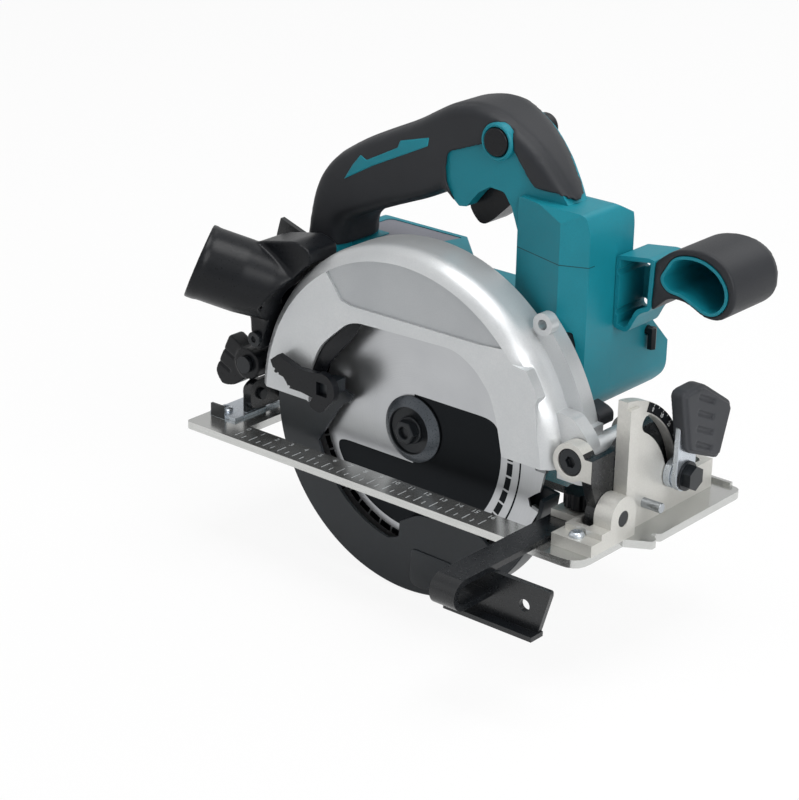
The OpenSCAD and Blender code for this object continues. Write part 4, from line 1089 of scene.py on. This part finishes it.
def repeated(
    name: str,
    item: Object,
    places: Sequence[Place],
    finish: Finish,
    uneven: float = 0.0,
    seed: int = 1,
) -> Object:
    """Puts an item at each place and joins them into one piece.

    Args:
        name: The piece's name.
        item: The item, about its own origin; it is used up.
        places: Where the items go.
        finish: Their finish.
        uneven: Largest turn about the item's own axis, in degrees.
        seed: Fixed seed of that turn.

    Returns:
        The piece, with no modifiers left.
    """
    mesh = bpy.data.meshes.new(name)
    mesh.from_pydata([[c * MM for c in p.at] for p in places], [], [])
    for label, rows in (
        ("turn", [[math.radians(c) for c in p.turn] for p in places]),
        ("size", [p.size for p in places]),
    ):
        layer = mesh.attributes.new(label, "FLOAT_VECTOR", "POINT")
        layer.data.foreach_set("vector", np.array(rows, float).ravel())
    made = linked(name, mesh)
    tree = items_tree()
    modifier = made.modifiers.new("items", "NODES")
    modifier.node_group = tree
    given = {
        "Item": item,
        "Material": finish.material(),
        "Uneven": math.radians(uneven),
        "Seed": seed,
    }
    for socket in tree.interface.items_tree:
        if socket.name in given and socket.in_out == "INPUT":
            modifier[socket.identifier] = given[socket.name]
    settle(made, TURNED_SHARP)
    bpy.data.objects.remove(item)
    return made


@dataclass(frozen=True)
class Figure:
    """One plain number on a scale, where it lies and its turn in degrees."""

    text: str
    at: Spot
    size: float
    turn: float = 0.0


def figures(
    name: str, marks: Sequence[Figure], across: Sequence[float], up: Sequence[float]
) -> Object:
    """Makes the plain numbers of a scale as one thin raised mesh.

    Args:
        name: The piece's name.
        marks: The numbers.
        across: Reading direction of the numbers.
        up: Upward direction of the numbers.

    Returns:
        The piece.
    """
    right, top = Vector(across), Vector(up)
    bm = bmesh.new()
    for mark in marks:
        data = bpy.data.curves.new(name, "FONT")
        data.body = mark.text
        data.size = mark.size * MM
        data.align_x, data.align_y = "CENTER", "CENTER"
        data.extrude = INK_MM * MM
        data.resolution_u = 3
        text = linked(name, data)
        graph = bpy.context.evaluated_depsgraph_get()
        graph.update()
        flat = bpy.data.meshes.new_from_object(text.evaluated_get(graph))
        face = Matrix((right, top, right.cross(top))).transposed().to_4x4()
        turn = Matrix.Rotation(math.radians(mark.turn), 4, "Z")
        flat.transform(Matrix.Translation(Vector(mark.at) * MM) @ face @ turn)
        bm.from_mesh(flat)
        bpy.data.objects.remove(text)
        bpy.data.curves.remove(data)
        bpy.data.meshes.remove(flat)
    bmesh.ops.remove_doubles(bm, verts=bm.verts, dist=FIGURE_WELD_M)
    bmesh.ops.recalc_face_normals(bm, faces=bm.faces)
    mesh = bpy.data.meshes.new(name)
    bm.to_mesh(mesh)
    bm.free()
    return linked(name, mesh)


def laid_on(
    name: str,
    outline: Sequence[Point],
    under: Object,
    start: float,
    thick: float,
) -> Object:
    """Lays a thin moulded inlay on the near side of a piece, following its surface.

    Args:
        name: The inlay's name.
        outline: Its outline in X and Z.
        under: The piece that it lies on.
        start: Y from which the surface is looked for, toward +Y.
        thick: How far the inlay stands proud.

    Returns:
        The inlay.
    """
    tree = BVHTree.FromObject(under, bpy.context.evaluated_depsgraph_get())

    def surface(points: np.ndarray) -> np.ndarray:
        out = []
        for x, z in points:
            hit = tree.ray_cast(Vector((x, start, z)) * MM, Vector((0, 1, 0)))
            out.append(hit[0].y / MM if hit[0] else start)
        return np.array(out)

    slab = Slab(outline)
    edge = resampled(outline, slab.step)

    def near(points: np.ndarray) -> np.ndarray:
        depth = away_from(points, edge)
        return surface(points) - thick * rounding(depth, 1.0, 0.9, 0.5)

    made = slab.build(name, near, lambda points: surface(points) + 0.5)
    return settle(made, FLOWING_SHARP)


@dataclass
class Studio:
    """Floor, lamps, sky and camera of a plain light studio."""

    target: Spot = (-19.94, -16.74, 31.65)
    azimuth: float = 39.80
    elevation: float = 21.97
    roll: float = 1.18
    distance: float = 1197.3
    lens: float = 106.93667
    sensor: float = 36.0
    mirrored: float = 0.52  # share of the white that shows in glossy surfaces
    floor_white: float = 0.9  # share of plain white in the floor that is seen
    sky_height: Span = (-0.2, 0.9)  # heights on the sky between which it brightens
    sky_strength: Span = (0.24, 0.5)  # below and above them
    lamp_size: float = 1.2  # metres
    lamp_aim: float = 0.05  # height that the lamps face, in metres
    lamps: tuple[tuple[str, Spot, float], ...] = (
        ("key", (1.7, -0.55, 1.0), 20.0),
        ("top", (0.2, 0.0, 2.0), 22.0),
        ("fill", (-1.2, -1.2, 0.7), 1.5),
        ("back", (0.2, 1.6, 1.1), 5.0),
    )
    floor_reach: float = 6.0  # metres each way
    floor_gap: float = 0.0005  # metres below the saw

    def camera(self) -> None:
        """Places the camera."""
        az, el, roll = (math.radians(a) for a in (self.azimuth, self.elevation, self.roll))
        back = Vector((math.sin(az) * math.cos(el), -math.cos(az) * math.cos(el), math.sin(el)))
        right = Vector((math.cos(az), math.sin(az), 0.0))
        up = back.cross(right)
        side = right * math.cos(roll) + up * math.sin(roll)
        top = up * math.cos(roll) - right * math.sin(roll)
        data = bpy.data.cameras.new("camera")
        data.sensor_fit = "HORIZONTAL"
        data.sensor_width = self.sensor
        data.lens = self.lens
        data.clip_start, data.clip_end = 0.05, 20.0
        cam = linked("camera", data)
        place = Vector(self.target) * MM + back * self.distance * MM
        turn = Matrix((side, top, back)).transposed().to_4x4()
        cam.matrix_world = Matrix.Translation(place) @ turn
        bpy.context.scene.camera = cam

    def seen(self, tree: NodeTree, share: float) -> NodeSocket:
        """Makes a mix factor for rays that look at a surface rather than light from it.

        Args:
            tree: Tree that the nodes go into.
            share: Factor for camera, glossy and transmission rays.

        Returns:
            The factor, 0 for every other ray.
        """
        path = add_node(tree, "ShaderNodeLightPath").outputs
        either = path["Is Camera Ray"]
        for kind, part in (("Is Glossy Ray", self.mirrored), ("Is Transmission Ray", 1.0)):
            ray = calculated(tree, "MULTIPLY", path[kind], part)
            either = calculated(tree, "MAXIMUM", either, ray)
        return calculated(tree, "MULTIPLY", either, share)

    def show(self, tree: NodeTree, output: str, share: float, lit: Node, seen: Node) -> None:
        """Ends a tree in one shader that lights and another that is seen.

        Args:
            tree: Tree that the nodes go into.
            output: Type name of its output node.
            share: How much of the second shader is seen.
            lit: The shader for every other ray.
            seen: The shader that is seen.
        """
        shaders = {0: self.seen(tree, share), 1: lit.outputs[0], 2: seen.outputs[0]}
        mix = add_node(tree, "ShaderNodeMixShader", shaders)
        add_node(tree, output, {0: mix.outputs[0]})

    def sky(self) -> None:
        """Lights the studio evenly, a little brighter from above, white where it is seen."""
        world = bpy.data.worlds.new("studio")
        bpy.context.scene.world = world
        tree = bare_tree(world)
        source = add_node(tree, "ShaderNodeTexCoord")
        parts = add_node(tree, "ShaderNodeSeparateXYZ", {0: source.outputs["Generated"]})
        height = ranged(tree, parts.outputs[2], self.sky_height, self.sky_strength)
        light = add_node(tree, "ShaderNodeBackground", {"Strength": height})
        white = {"Color": linear("#FFFFFF"), "Strength": 1.0}
        seen = add_node(tree, "ShaderNodeBackground", white)
        self.show(tree, "ShaderNodeOutputWorld", 1.0, light, seen)

    def lamp(self, name: str, place: Spot, power: float) -> None:
        """Hangs one soft box that faces the saw.

        Args:
            name: The lamp's name.
            place: Its place in metres.
            power: Its power in watts.
        """
        data = bpy.data.lights.new(name, "AREA")
        data.shape = "SQUARE"
        data.size = self.lamp_size
        data.energy = power
        away = Vector(place) - Vector((0, 0, self.lamp_aim))
        turn = away.to_track_quat("Z", "Y").to_matrix().to_4x4()
        linked(name, data).matrix_world = Matrix.Translation(place) @ turn

    def floor(self, low: float) -> None:
        """Lays a pale floor under the lowest point.

        Args:
            low: Height of the lowest point in metres.
        """
        mesh = bpy.data.meshes.new("floor")
        r = self.floor_reach
        mesh.from_pydata([(-r, -r, 0), (r, -r, 0), (r, r, 0), (-r, r, 0)], [], [(0, 1, 2, 3)])
        mesh.transform(Matrix.Translation((0, 0, low - self.floor_gap)))
        floor = linked("floor", mesh)
        paper = bpy.data.materials.new("matt_white_paper")
        tree = bare_tree(paper)
        matt = add_node(tree, "ShaderNodeBsdfDiffuse", {"Color": linear("#F4F4F4")})
        glow = add_node(tree, "ShaderNodeEmission", {"Strength": 1.0})
        self.show(tree, "ShaderNodeOutputMaterial", self.floor_white, matt, glow)
        mesh.materials.append(paper)
        floor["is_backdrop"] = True

    def build(self, low: float) -> None:
        """Builds the studio.

        Args:
            low: Height of the lowest point of the saw in metres.
        """
        self.camera()
        self.sky()
        for name, place, power in self.lamps:
            self.lamp(name, place, power)
        self.floor(low)


def in_two(obj: Object, finish: Finish, chosen: Callable[[Vector], bool]) -> Object:
    """Gives part of a piece a second finish.

    Args:
        obj: The piece, already dressed.
        finish: The second finish.
        chosen: Tells, from a face's middle in millimetres, whether it takes the second finish.

    Returns:
        The same object.
    """
    obj.data.materials.append(finish.material())
    for face in obj.data.polygons:
        if chosen(face.center / MM):
            face.material_index = 1
    return obj


Eased = dict[str, tuple[Finish, float]]  # finish and width of the eased edges
Relaxed = dict[str, tuple[Finish, float, int]]  # finish, cell size and smoothing passes
Kept = dict[str, Finish]


@dataclass
class Assembly:
    """A sub-assembly of the saw: its sizes, and how it is built and dressed."""

    title: ClassVar[str] = "assembly"
    EASED: ClassVar[Eased] = {}
    RELAXED: ClassVar[Relaxed] = {}
    KEPT: ClassVar[Kept] = {}
    made: dict[str, Object] = field(default_factory=dict)

    @staticmethod
    def body(node: str) -> str:
        """Gives the body that carries a node.

        Args:
            node: The node's name.

        Returns:
            The body's name.

        Raises:
            KeyError: If no body carries it.
        """
        for name, members in frame["record"]["behaviour"]["bodies"].items():
            if node in members:
                return name
        raise KeyError(node)

    def add(self, obj: Object, finish: Finish, like: str, stands_for: bool = False) -> Object:
        """Dresses a piece and lets it ride with a node's body.

        Args:
            obj: The piece.
            finish: Its finish.
            like: The node that it rides with.
            stands_for: Whether it takes that node's place.

        Returns:
            The same object.
        """
        self.made[obj.name] = dressed(obj, finish, self.body(like), [like] if stands_for else [])
        return obj

    def build(self) -> None:
        """Builds the eased and relaxed copies, then the details of its own."""
        for node, (finish, width) in self.EASED.items():
            self.add(softened(f"{node}_piece", node, width), finish, node, stands_for=True)
        for node, (finish, voxel, rounds) in self.RELAXED.items():
            self.add(reshaped(f"{node}_piece", node, voxel, rounds), finish, node, stands_for=True)
        self.details()

    def details(self) -> None:
        """Builds what the frame doesn't have; most sub-assemblies have something."""

    def dress(self) -> None:
        """Gives each node that stays a finish of its own."""
        for node, finish in self.KEPT.items():
            mesh = frame["nodes"][node].data
            mesh.materials.clear()
            mesh.materials.append(finish.material())

    def report(self) -> None:
        """Logs what was made."""
        for obj in self.made.values():
            log.info("%s: %s, %d faces", self.title, obj.name, len(obj.data.polygons))
        log.info("%s: %d nodes kept", self.title, len(self.KEPT))


def cross_screw() -> Object:
    """Makes a pan head screw with a cross recess, its head above Z = 0.

    Returns:
        The screw.
    """
    return turned(
        "cross_screw",
        [
            (2.0, -3.0, 0),
            (2.0, -0.02, 0),
            (3.7, 0.0, 0),
            (3.8, 0.35, 0),
            (3.65, 1.3, 0),
            (3.1, 2.0, 0),
            (2.5, 2.35, 0),
            (2.1, 2.3, -4),
            (1.9, 1.0, -4),
        ],
    )


def socket_screw() -> Object:
    """Makes a small cheese head screw with a six-sided recess, its head above Z = 0.

    Returns:
        The screw.
    """
    return turned(
        "socket_screw",
        [
            (1.7, -4.0, 0),
            (1.7, -0.02, 0),
            (3.1, 0.0, 0),
            (3.15, 0.2, 0),
            (3.15, 1.5, 0),
            (2.9, 1.9, 0),
            (1.75, 1.9, 6),
            (1.6, 0.7, 6),
        ],
    )


def bar(width: float, low: float, high: float, along: str) -> Object:
    """Makes a flat bar one millimetre long, for scale marks.

    Args:
        width: Its width.
        low: Its lower face, in millimetres.
        high: Its upper face, in millimetres.
        along: The axis from the lower to the upper face.

    Returns:
        The bar, about the origin.
    """
    w = width / 2
    outline = [(-w, -0.5), (w, -0.5), (w, 0.5), (-w, 0.5)]
    return prism("bar", outline, low, high, 0.0, along)


@dataclass
class Sole(Assembly):
    """The base plate with its scale, its screws and the rear bracket."""

    title: ClassVar[str] = "sole"
    EASED: ClassVar[Eased] = {
        "base_plate": (ROLLED, 0.5),
        "rear_bracket": (ZINC, 0.3),
        "rear_bevel_pin": (BLACK_OXIDE, 0.3),
        "front_bevel_pin": (BLACK_OXIDE, 0.3),
    }
    top: float = 4.0
    first_mark: float = -94.7
    marks: int = 17
    pitch: float = 10.0
    tick_y: float = -59.0
    tick_width: float = 0.5
    tick_rise: float = 0.025
    long_tick: float = 6.5
    short_tick: float = 3.4
    figure_y: float = -48.4
    figure_size: float = 4.4
    painted_above: float = 7.2
    screws: tuple[Spot, ...] = (
        (115.0, -48.0, 10.0),
        (115.0, 46.0, 9.0),
        (110.0, 30.0, 9.0),
        (-119.0, -40.0, 5.6),
        (-119.0, -16.0, 5.6),
    )

    def details(self) -> None:
        """Etches the scale, sets the screws and coats the rear bracket above its foot."""
        ticks = []
        for k in range(2 * self.marks - 1):
            size = self.long_tick if k % 2 == 0 else self.short_tick
            x = self.first_mark + k * self.pitch / 2
            place = (x, self.tick_y + size / 2, self.top)
            ticks.append(Place(place, size=(1.0, size, 1.0)))
        item = bar(self.tick_width, -self.tick_rise, self.tick_rise, "Z")
        self.add(repeated("sole_ticks", item, ticks, ETCH), ETCH, "base_plate")
        numbers = [
            Figure(
                str(k),
                (self.first_mark + k * self.pitch, self.figure_y, self.top),
                self.figure_size,
            )
            for k in range(self.marks)
        ]
        made = figures("sole_figures", numbers, (1, 0, 0), (0, 1, 0))
        self.add(made, ETCH, "base_plate")
        screws = [Place(p) for p in self.screws]
        made = repeated("sole_screws", cross_screw(), screws, ZINC, uneven=90.0, seed=3)
        self.add(made, ZINC, "plate_screws", stands_for=True)
        bracket = self.made["rear_bracket_piece"]
        in_two(bracket, POWDER, lambda p: p.z > self.painted_above)


@dataclass
class BevelStop(Assembly):
    """The front bracket with its scale, the casting that tilts in it and the clamp lever."""

    title: ClassVar[str] = "bevel stop"
    EASED: ClassVar[Eased] = {
        "front_bracket": (CAST_BARE, 0.9),
        "angular_guide": (CAST_BARE, 0.6),
        "stop_pin": (GROUND, 0.3),
        "bevel_clamp_bolt": (BLACK_OXIDE, 0.4),
        "bevel_lever_strap": (ZINC, 0.3),
        "depth_hinge_pin": (BLACK_OXIDE, 0.3),
    }
    RELAXED: ClassVar[Relaxed] = {"bevel_lever_grip": (SOFT_GREY, 0.5, 16)}
    pivot: Point = (-28.0, 15.5)
    inner: float = 51.0
    outer: float = 55.8
    start: float = 6.0
    end: float = 66.0
    thick: float = 0.3
    pin_depth: float = 3.3  # how deep the stop pin is set in the bracket's face
    arc_steps: int = 40
    zero_at: float = 61.0
    marks: int = 11
    mark_deg: float = 5.0
    tick_inset: float = 0.6
    figure_inset: float = 0.5
    tick_width: float = 0.3
    figure_size: float = 2.9
    plate_depth: float = 5.8  # how far back from the guide's front its coat reaches
    tick_x: Span = (-0.02, 0.04)  # from inside the band's face to the top of the ink

    def around(self, radius: float, angle: float) -> Point:
        """Gives Y and Z of a point on a circle about the pivot."""
        y0, z0 = self.pivot
        return (y0 + radius * math.cos(angle), z0 + radius * math.sin(angle))

    def details(self) -> None:
        """Adds the black scale band with its plain white numbers."""
        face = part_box("stop_pin")[0][0] / MM + self.pin_depth
        sweep = self.end - self.start
        steps = self.arc_steps
        arc = [math.radians(self.start + sweep * k / steps) for k in range(steps + 1)]
        outline = [self.around(self.outer, a) for a in arc]
        outline += [self.around(self.inner, a) for a in reversed(arc)]
        band = prism("bevel_scale", outline, face - 0.05, face + self.thick, 0.0, "X")
        self.add(band, ABS_BLACK, "front_bracket")
        front = face + self.thick
        middle = (self.inner + self.outer) / 2 - self.figure_inset
        numbers, ticks = [], []
        for k in range(self.marks):
            turn = self.zero_at - k * self.mark_deg
            a = math.radians(turn)
            at = (front, *self.around(self.outer - self.tick_inset, a))
            ticks.append(Place(at, (turn - 90.0, 0.0, 0.0), (1.0, 1.0, 1.2)))
            if k % 2 == 0:
                text = str(round(k * self.mark_deg))
                at = (front, *self.around(middle, a))
                numbers.append(Figure(text, at, self.figure_size, turn - 90.0))
        item = bar(self.tick_width, *self.tick_x, "X")
        self.add(repeated("bevel_ticks", item, ticks, PAD_PRINT), PAD_PRINT, "front_bracket")
        made = figures("bevel_figures", numbers, (0, 1, 0), (0, 0, 1))
        self.add(made, PAD_PRINT, "front_bracket")
        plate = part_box("angular_guide")[1][0] / MM - self.plate_depth
        in_two(self.made["angular_guide_piece"], POWDER, lambda p: p.x > plate)


@dataclass
class DepthStop(Assembly):
    """The curved depth guide with its stud and clamp lever."""

    title: ClassVar[str] = "depth stop"
    EASED: ClassVar[Eased] = {
        "depth_guide": (POWDER, 0.3),
        "depth_stud": (BLACK_OXIDE, 0.2),
    }
    RELAXED: ClassVar[Relaxed] = {"depth_lever": (ABS_BLACK, 0.5, 10)}


@dataclass
class RipFence(Assembly):
    """The rip fence and the knob that holds it."""

    title: ClassVar[str] = "rip fence"
    EASED: ClassVar[Eased] = {
        "rip_fence": (POWDER, 0.4),
        "fence_knob": (ABS_BLACK, 0.3),
    }


@dataclass
class UpperGuard(Assembly):
    """The fixed blade case, with a black sheet as painted shade in the corner of its window."""

    title: ClassVar[str] = "upper guard"
    EASED: ClassVar[Eased] = {"upper_guard": (CAST_SILVER, 1.0)}
    shade_sheet_y: Span = (-40.6, -39.2)
    panel_y: float = -40.8
    panel_above: float = 84.0
    panel_slack: float = 0.05
    ease: float = 0.3
    cavity_shade: tuple[Corner, ...] = (
        (-58.2, 44.0, 0.0),
        (-51.0, 59.9, 6.0),
        (-31.6, 77.5, 8.0),
        (-26.4, 76.9, 0.0),
        (-31.5, 68.0, 6.0),
        (-36.8, 62.6, 6.0),
        (-42.0, 56.5, 6.0),
        (-46.8, 50.5, 5.0),
        (-49.6, 44.4, 0.0),
    )

    def details(self) -> None:
        """Adds a black sheet as painted shade behind the window's corner and gives the panel a
        darker lacquer as painted shade.
        """
        # A black sheet stands in for the shade of the cavity behind the window's corner.
        outline = arc_corners(self.cavity_shade)
        made = prism("chute_wall", outline, *self.shade_sheet_y, self.ease)
        self.add(made, ABS_BLACK, "upper_guard")
        # The sunk panel takes a darker copy of the lacquer: painted shade.
        in_two(
            self.made["upper_guard_piece"],
            CAST_PANEL_SHADED,
            lambda p: abs(p.y - self.panel_y) < self.panel_slack and p.z > self.panel_above,
        )


@dataclass
class LowerGuard(Assembly):
    """The swinging guard with its lever and the raised panel on its wall."""

    title: ClassVar[str] = "lower guard"
    EASED: ClassVar[Eased] = {
        "lower_guard": (GUARD_BLACK, 0.4),
        "retract_lever": (ABS_BLACK, 0.4),
    }
    wall: float = -35.2
    rise: float = 0.7
    overlap: float = 0.1
    ease: float = 0.5
    panel: tuple[Corner, ...] = (
        (5.5, -36.0, 3.0),
        (32.0, -36.5, 3.0),
        (34.0, -50.0, 4.0),
        (12.0, -57.0, 4.0),
        (4.8, -55.0, 4.0),
    )

    def details(self) -> None:
        """Raises the shallow panel on the wall."""
        outline = arc_corners(self.panel)
        low, high = self.wall - self.rise, self.wall + self.overlap
        made = prism("guard_panel", outline, low, high, self.ease)
        self.add(made, GUARD_BLACK, "lower_guard")


@dataclass
class DustOutlet(Assembly):
    """The dust nozzle behind the upper guard."""

    title: ClassVar[str] = "dust outlet"
    EASED: ClassVar[Eased] = {"nozzle_screw": (BLACK_OXIDE, 0.3)}
    RELAXED: ClassVar[Relaxed] = {"dust_nozzle": (ABS_BLACK, 0.8, 7)}


@dataclass
class BladeSet(Assembly):
    """The blade between its flanges, on the spindle."""

    title: ClassVar[str] = "blade"
    EASED: ClassVar[Eased] = {
        "blade": (PRINTED_BLADE, 0.12),
        "inner_flange": (GROUND, 0.2),
    }
    KEPT: ClassVar[Kept] = {
        "blade_tips": CARBIDE,
        "spindle": GROUND,
        "spindle_gear": GROUND,
        "spindle_bearing_front": GROUND,
        "spindle_bearing_rear": GROUND,
        "bearing_box": CAST_BARE,
        "gear_housing": CAST_BARE,
        "guard_ring": ZINC,
        "guard_spring": GROUND,
    }
    cone: float = 4.9  # width of the flange's cone, from its rim in to the cup
    cup: float = 1.7  # depth of the flange's cup
    head: float = 6.3  # from the middle of the bolt's head to its corners
    shank: float = 3.9  # radius
    recess: float = 3.5  # radius

    def details(self) -> None:
        """Turns the outer flange with its cone and cup, and the bolt with its cupped head."""
        low, high = (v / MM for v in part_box("outer_flange"))
        rim, back, front = (high[0] - low[0]) / 2, -high[1], -low[1]
        mouth = rim - self.cone
        rings = [(rim, back, 0), (rim, back + 1.0, 0), (rim - 0.3, back + 1.35, 0)]
        rings += [(mouth + 0.4, front - 0.15, 0), (mouth, front, 0), (mouth - 0.4, front - 0.2, 0)]
        rings += [(mouth - 0.7, front - self.cup, 0), (mouth - 1.3, front - self.cup - 0.3, 0)]
        flange = turned("outer_flange_piece", rings, 96)
        self.add(self.faced(flange, low, high), BLACK_OXIDE, "outer_flange", stands_for=True)
        at, base = (low + high) / 2, -back - 1.0
        # The cone takes the lighter oxide: a painted highlight.
        in_two(
            self.made["outer_flange_piece"],
            OXIDE_CONE_HIGHLIGHT,
            lambda p: mouth < math.hypot(p.x - at.x, p.z - at.z) < rim - 0.1 and p.y < base,
        )
        seat = front - self.cup - 0.35
        low, high = (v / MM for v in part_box("blade_bolt"))
        wide, back, front = (high[0] - low[0]) / 2, -high[1], -low[1]
        rings = [(self.shank, back, 0), (self.shank, seat, 0), (wide, seat, 0)]
        rings += [(wide, seat + 1.0, 0), (wide - 0.4, seat + 1.4, 0)]
        rings += [(self.head, seat + 1.5, 6), (self.head, front - 0.5, 6)]
        rings += [(self.head - 0.7, front, 6)]
        rings += [(self.recess, front, 0), (self.recess - 0.3, front - 0.3, 0)]
        rings += [(self.recess - 0.5, front - 2.2, 0)]
        bolt = turned("blade_bolt_piece", rings, 72)
        self.add(self.faced(bolt, low, high), BLACK_OXIDE, "blade_bolt", stands_for=True)

    @staticmethod
    def faced(form: Object, low: Vector, high: Vector) -> Object:
        """Turns a form so that its top faces -Y, about the middle of a box.

        Args:
            form: The form, turned about Z.
            low: Lower corner of the box in mm.
            high: Upper corner of the box in mm.

        Returns:
            The same form.
        """
        at = Vector(((low[0] + high[0]) / 2, 0.0, (low[2] + high[2]) / 2)) * MM
        form.data.transform(Matrix.Translation(at) @ Matrix.Rotation(math.pi / 2, 4, "X"))
        return form


@dataclass
class MotorSet(Assembly):
    """The motor and its electronics."""

    title: ClassVar[str] = "motor"
    EASED: ClassVar[Eased] = {
        "motor_cover": (ABS_BLACK, 0.5),
        "shaft_lock": (ABS_BLACK, 0.4),
    }
    KEPT: ClassVar[Kept] = {
        "rotor": LAMINATION,
        "rotor_shaft": GROUND,
        "rotor_bearings": GROUND,
        "cooling_fan": ABS_BLACK,
        "stator": LAMINATION,
        "switch_unit": ABS_BLACK,
        "controller": BOARD,
        "terminal_block": ABS_BLACK,
    }


@dataclass
class Housing(Assembly):
    """The two moulded halves with what is fixed to them."""

    title: ClassVar[str] = "housing"
    EASED: ClassVar[Eased] = {
        "housing_left": (SEAMED_TEAL, 1.0),
        "housing_right": (SEAMED_TEAL, 1.0),
        "label_plate": (VINYL, 0.2),
        "battery_rails": (ABS_BLACK, 0.2),
        "work_light": (ABS_BLACK, 0.5),
        "light_lens": (LENS, 0.2),
        "rubber_stop": (ELASTOMER, 0.4),
        "hex_wrench": (BLACK_OXIDE, 0.3),
    }
    sunk: float = 3.0
    screws: tuple[Spot, ...] = (  # x, z, y
        (50.0, 104.0, 27.0),
        (78.0, 132.0, 27.0),
        (80.0, 56.0, 62.0),
        (-80.0, 122.0, 29.5),
        (-30.0, 156.0, 29.5),
        (-84.0, 91.5, 56.0),
    )

    def details(self) -> None:
        """Sets the screws that hold the halves together."""
        places = [Place((x, y - self.sunk, z), (-90.0, 0.0, 0.0)) for x, z, y in self.screws]
        made = repeated(
            "housing_screws_piece", socket_screw(), places, BLACK_OXIDE, uneven=60.0, seed=5
        )
        self.add(made, BLACK_OXIDE, "housing_screws", stands_for=True)


@dataclass
class Handle(Assembly):
    """The soft rear handle with its trigger, its button and the coloured inlay."""

    title: ClassVar[str] = "handle"
    EASED: ClassVar[Eased] = {
        "trigger": (ABS_BLACK, 1.0),
        "lock_off_button": (ABS_BLACK, 1.0),
    }
    RELAXED: ClassVar[Relaxed] = {"handle_rubber": (ELASTOMER, 1.1, 14)}
    button: Point = (27.9, 173.4)
    ring: Span = (7.35, 9.3)
    ring_y: Span = (-6.9, -1.5)
    inlay_from: float = -30.0  # Y that its bed is looked for from
    inlay_rise: float = 0.35
    inlay: tuple[Corner, ...] = (
        (-68.3, 135.2, 0.4),
        (-49.6, 145.8, 0.6),
        (-14.3, 162.9, 0.6),
        (-13.6, 167.4, 0.6),
        (-31.8, 162.3, 0.6),
        (-33.5, 158.4, 0.6),
        (-53.4, 148.1, 0.6),
        (-57.4, 150.0, 0.6),
        (-62.6, 143.8, 0.8),
    )

    def details(self) -> None:
        """Adds the ring around the button and the inlay on the near side."""
        low, high = self.ring_y
        r0, r1 = self.ring
        profile = [
            (r0, high, 0),
            (r0, low + 0.4, 0),
            (r0 + 0.4, low, 0),
            (r1 - 0.7, low, 0),
            (r1, low + 0.9, 0),
            (r1, high, 0),
        ]
        made = turned("button_ring", profile, 56, bore=True)
        turn = Matrix.Rotation(math.radians(-90), 4, "X")
        place = Matrix.Translation(Vector((self.button[0], 0.0, self.button[1])) * MM)
        made.data.transform(place @ turn)
        self.add(made, NYLON_TEAL, "handle_rubber")
        rubber = self.made["handle_rubber_piece"]
        outline = arc_corners(self.inlay, 3)
        made = laid_on("handle_inlay", outline, rubber, self.inlay_from, self.inlay_rise)
        self.add(made, NYLON_TEAL, "handle_rubber")


@dataclass
class FrontGrip(Assembly):
    """The hollow front grip: its moulded core and its soft cover."""

    title: ClassVar[str] = "front grip"
    EASED: ClassVar[Eased] = {"front_grip_shell": (NYLON_TEAL, 0.7)}
    RELAXED: ClassVar[Relaxed] = {"front_grip_rubber": (ELASTOMER, 0.8, 8)}


def main() -> None:
    """Builds the saw's looks in order and reports each piece."""
    logging.basicConfig(level=logging.INFO, format="%(message)s")
    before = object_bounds()
    bpy.context.scene.view_settings.view_transform = "Standard"
    assemblies: list[Assembly] = [
        Sole(),
        BevelStop(),
        DepthStop(),
        RipFence(),
        UpperGuard(),
        LowerGuard(),
        DustOutlet(),
        BladeSet(),
        MotorSet(),
        Housing(),
        Handle(),
        FrontGrip(),
    ]
    for assembly in assemblies:
        assembly.build()
        assembly.dress()
        assembly.report()
    Studio().build(before[0][2])


if __name__ == "__main__":
    main()
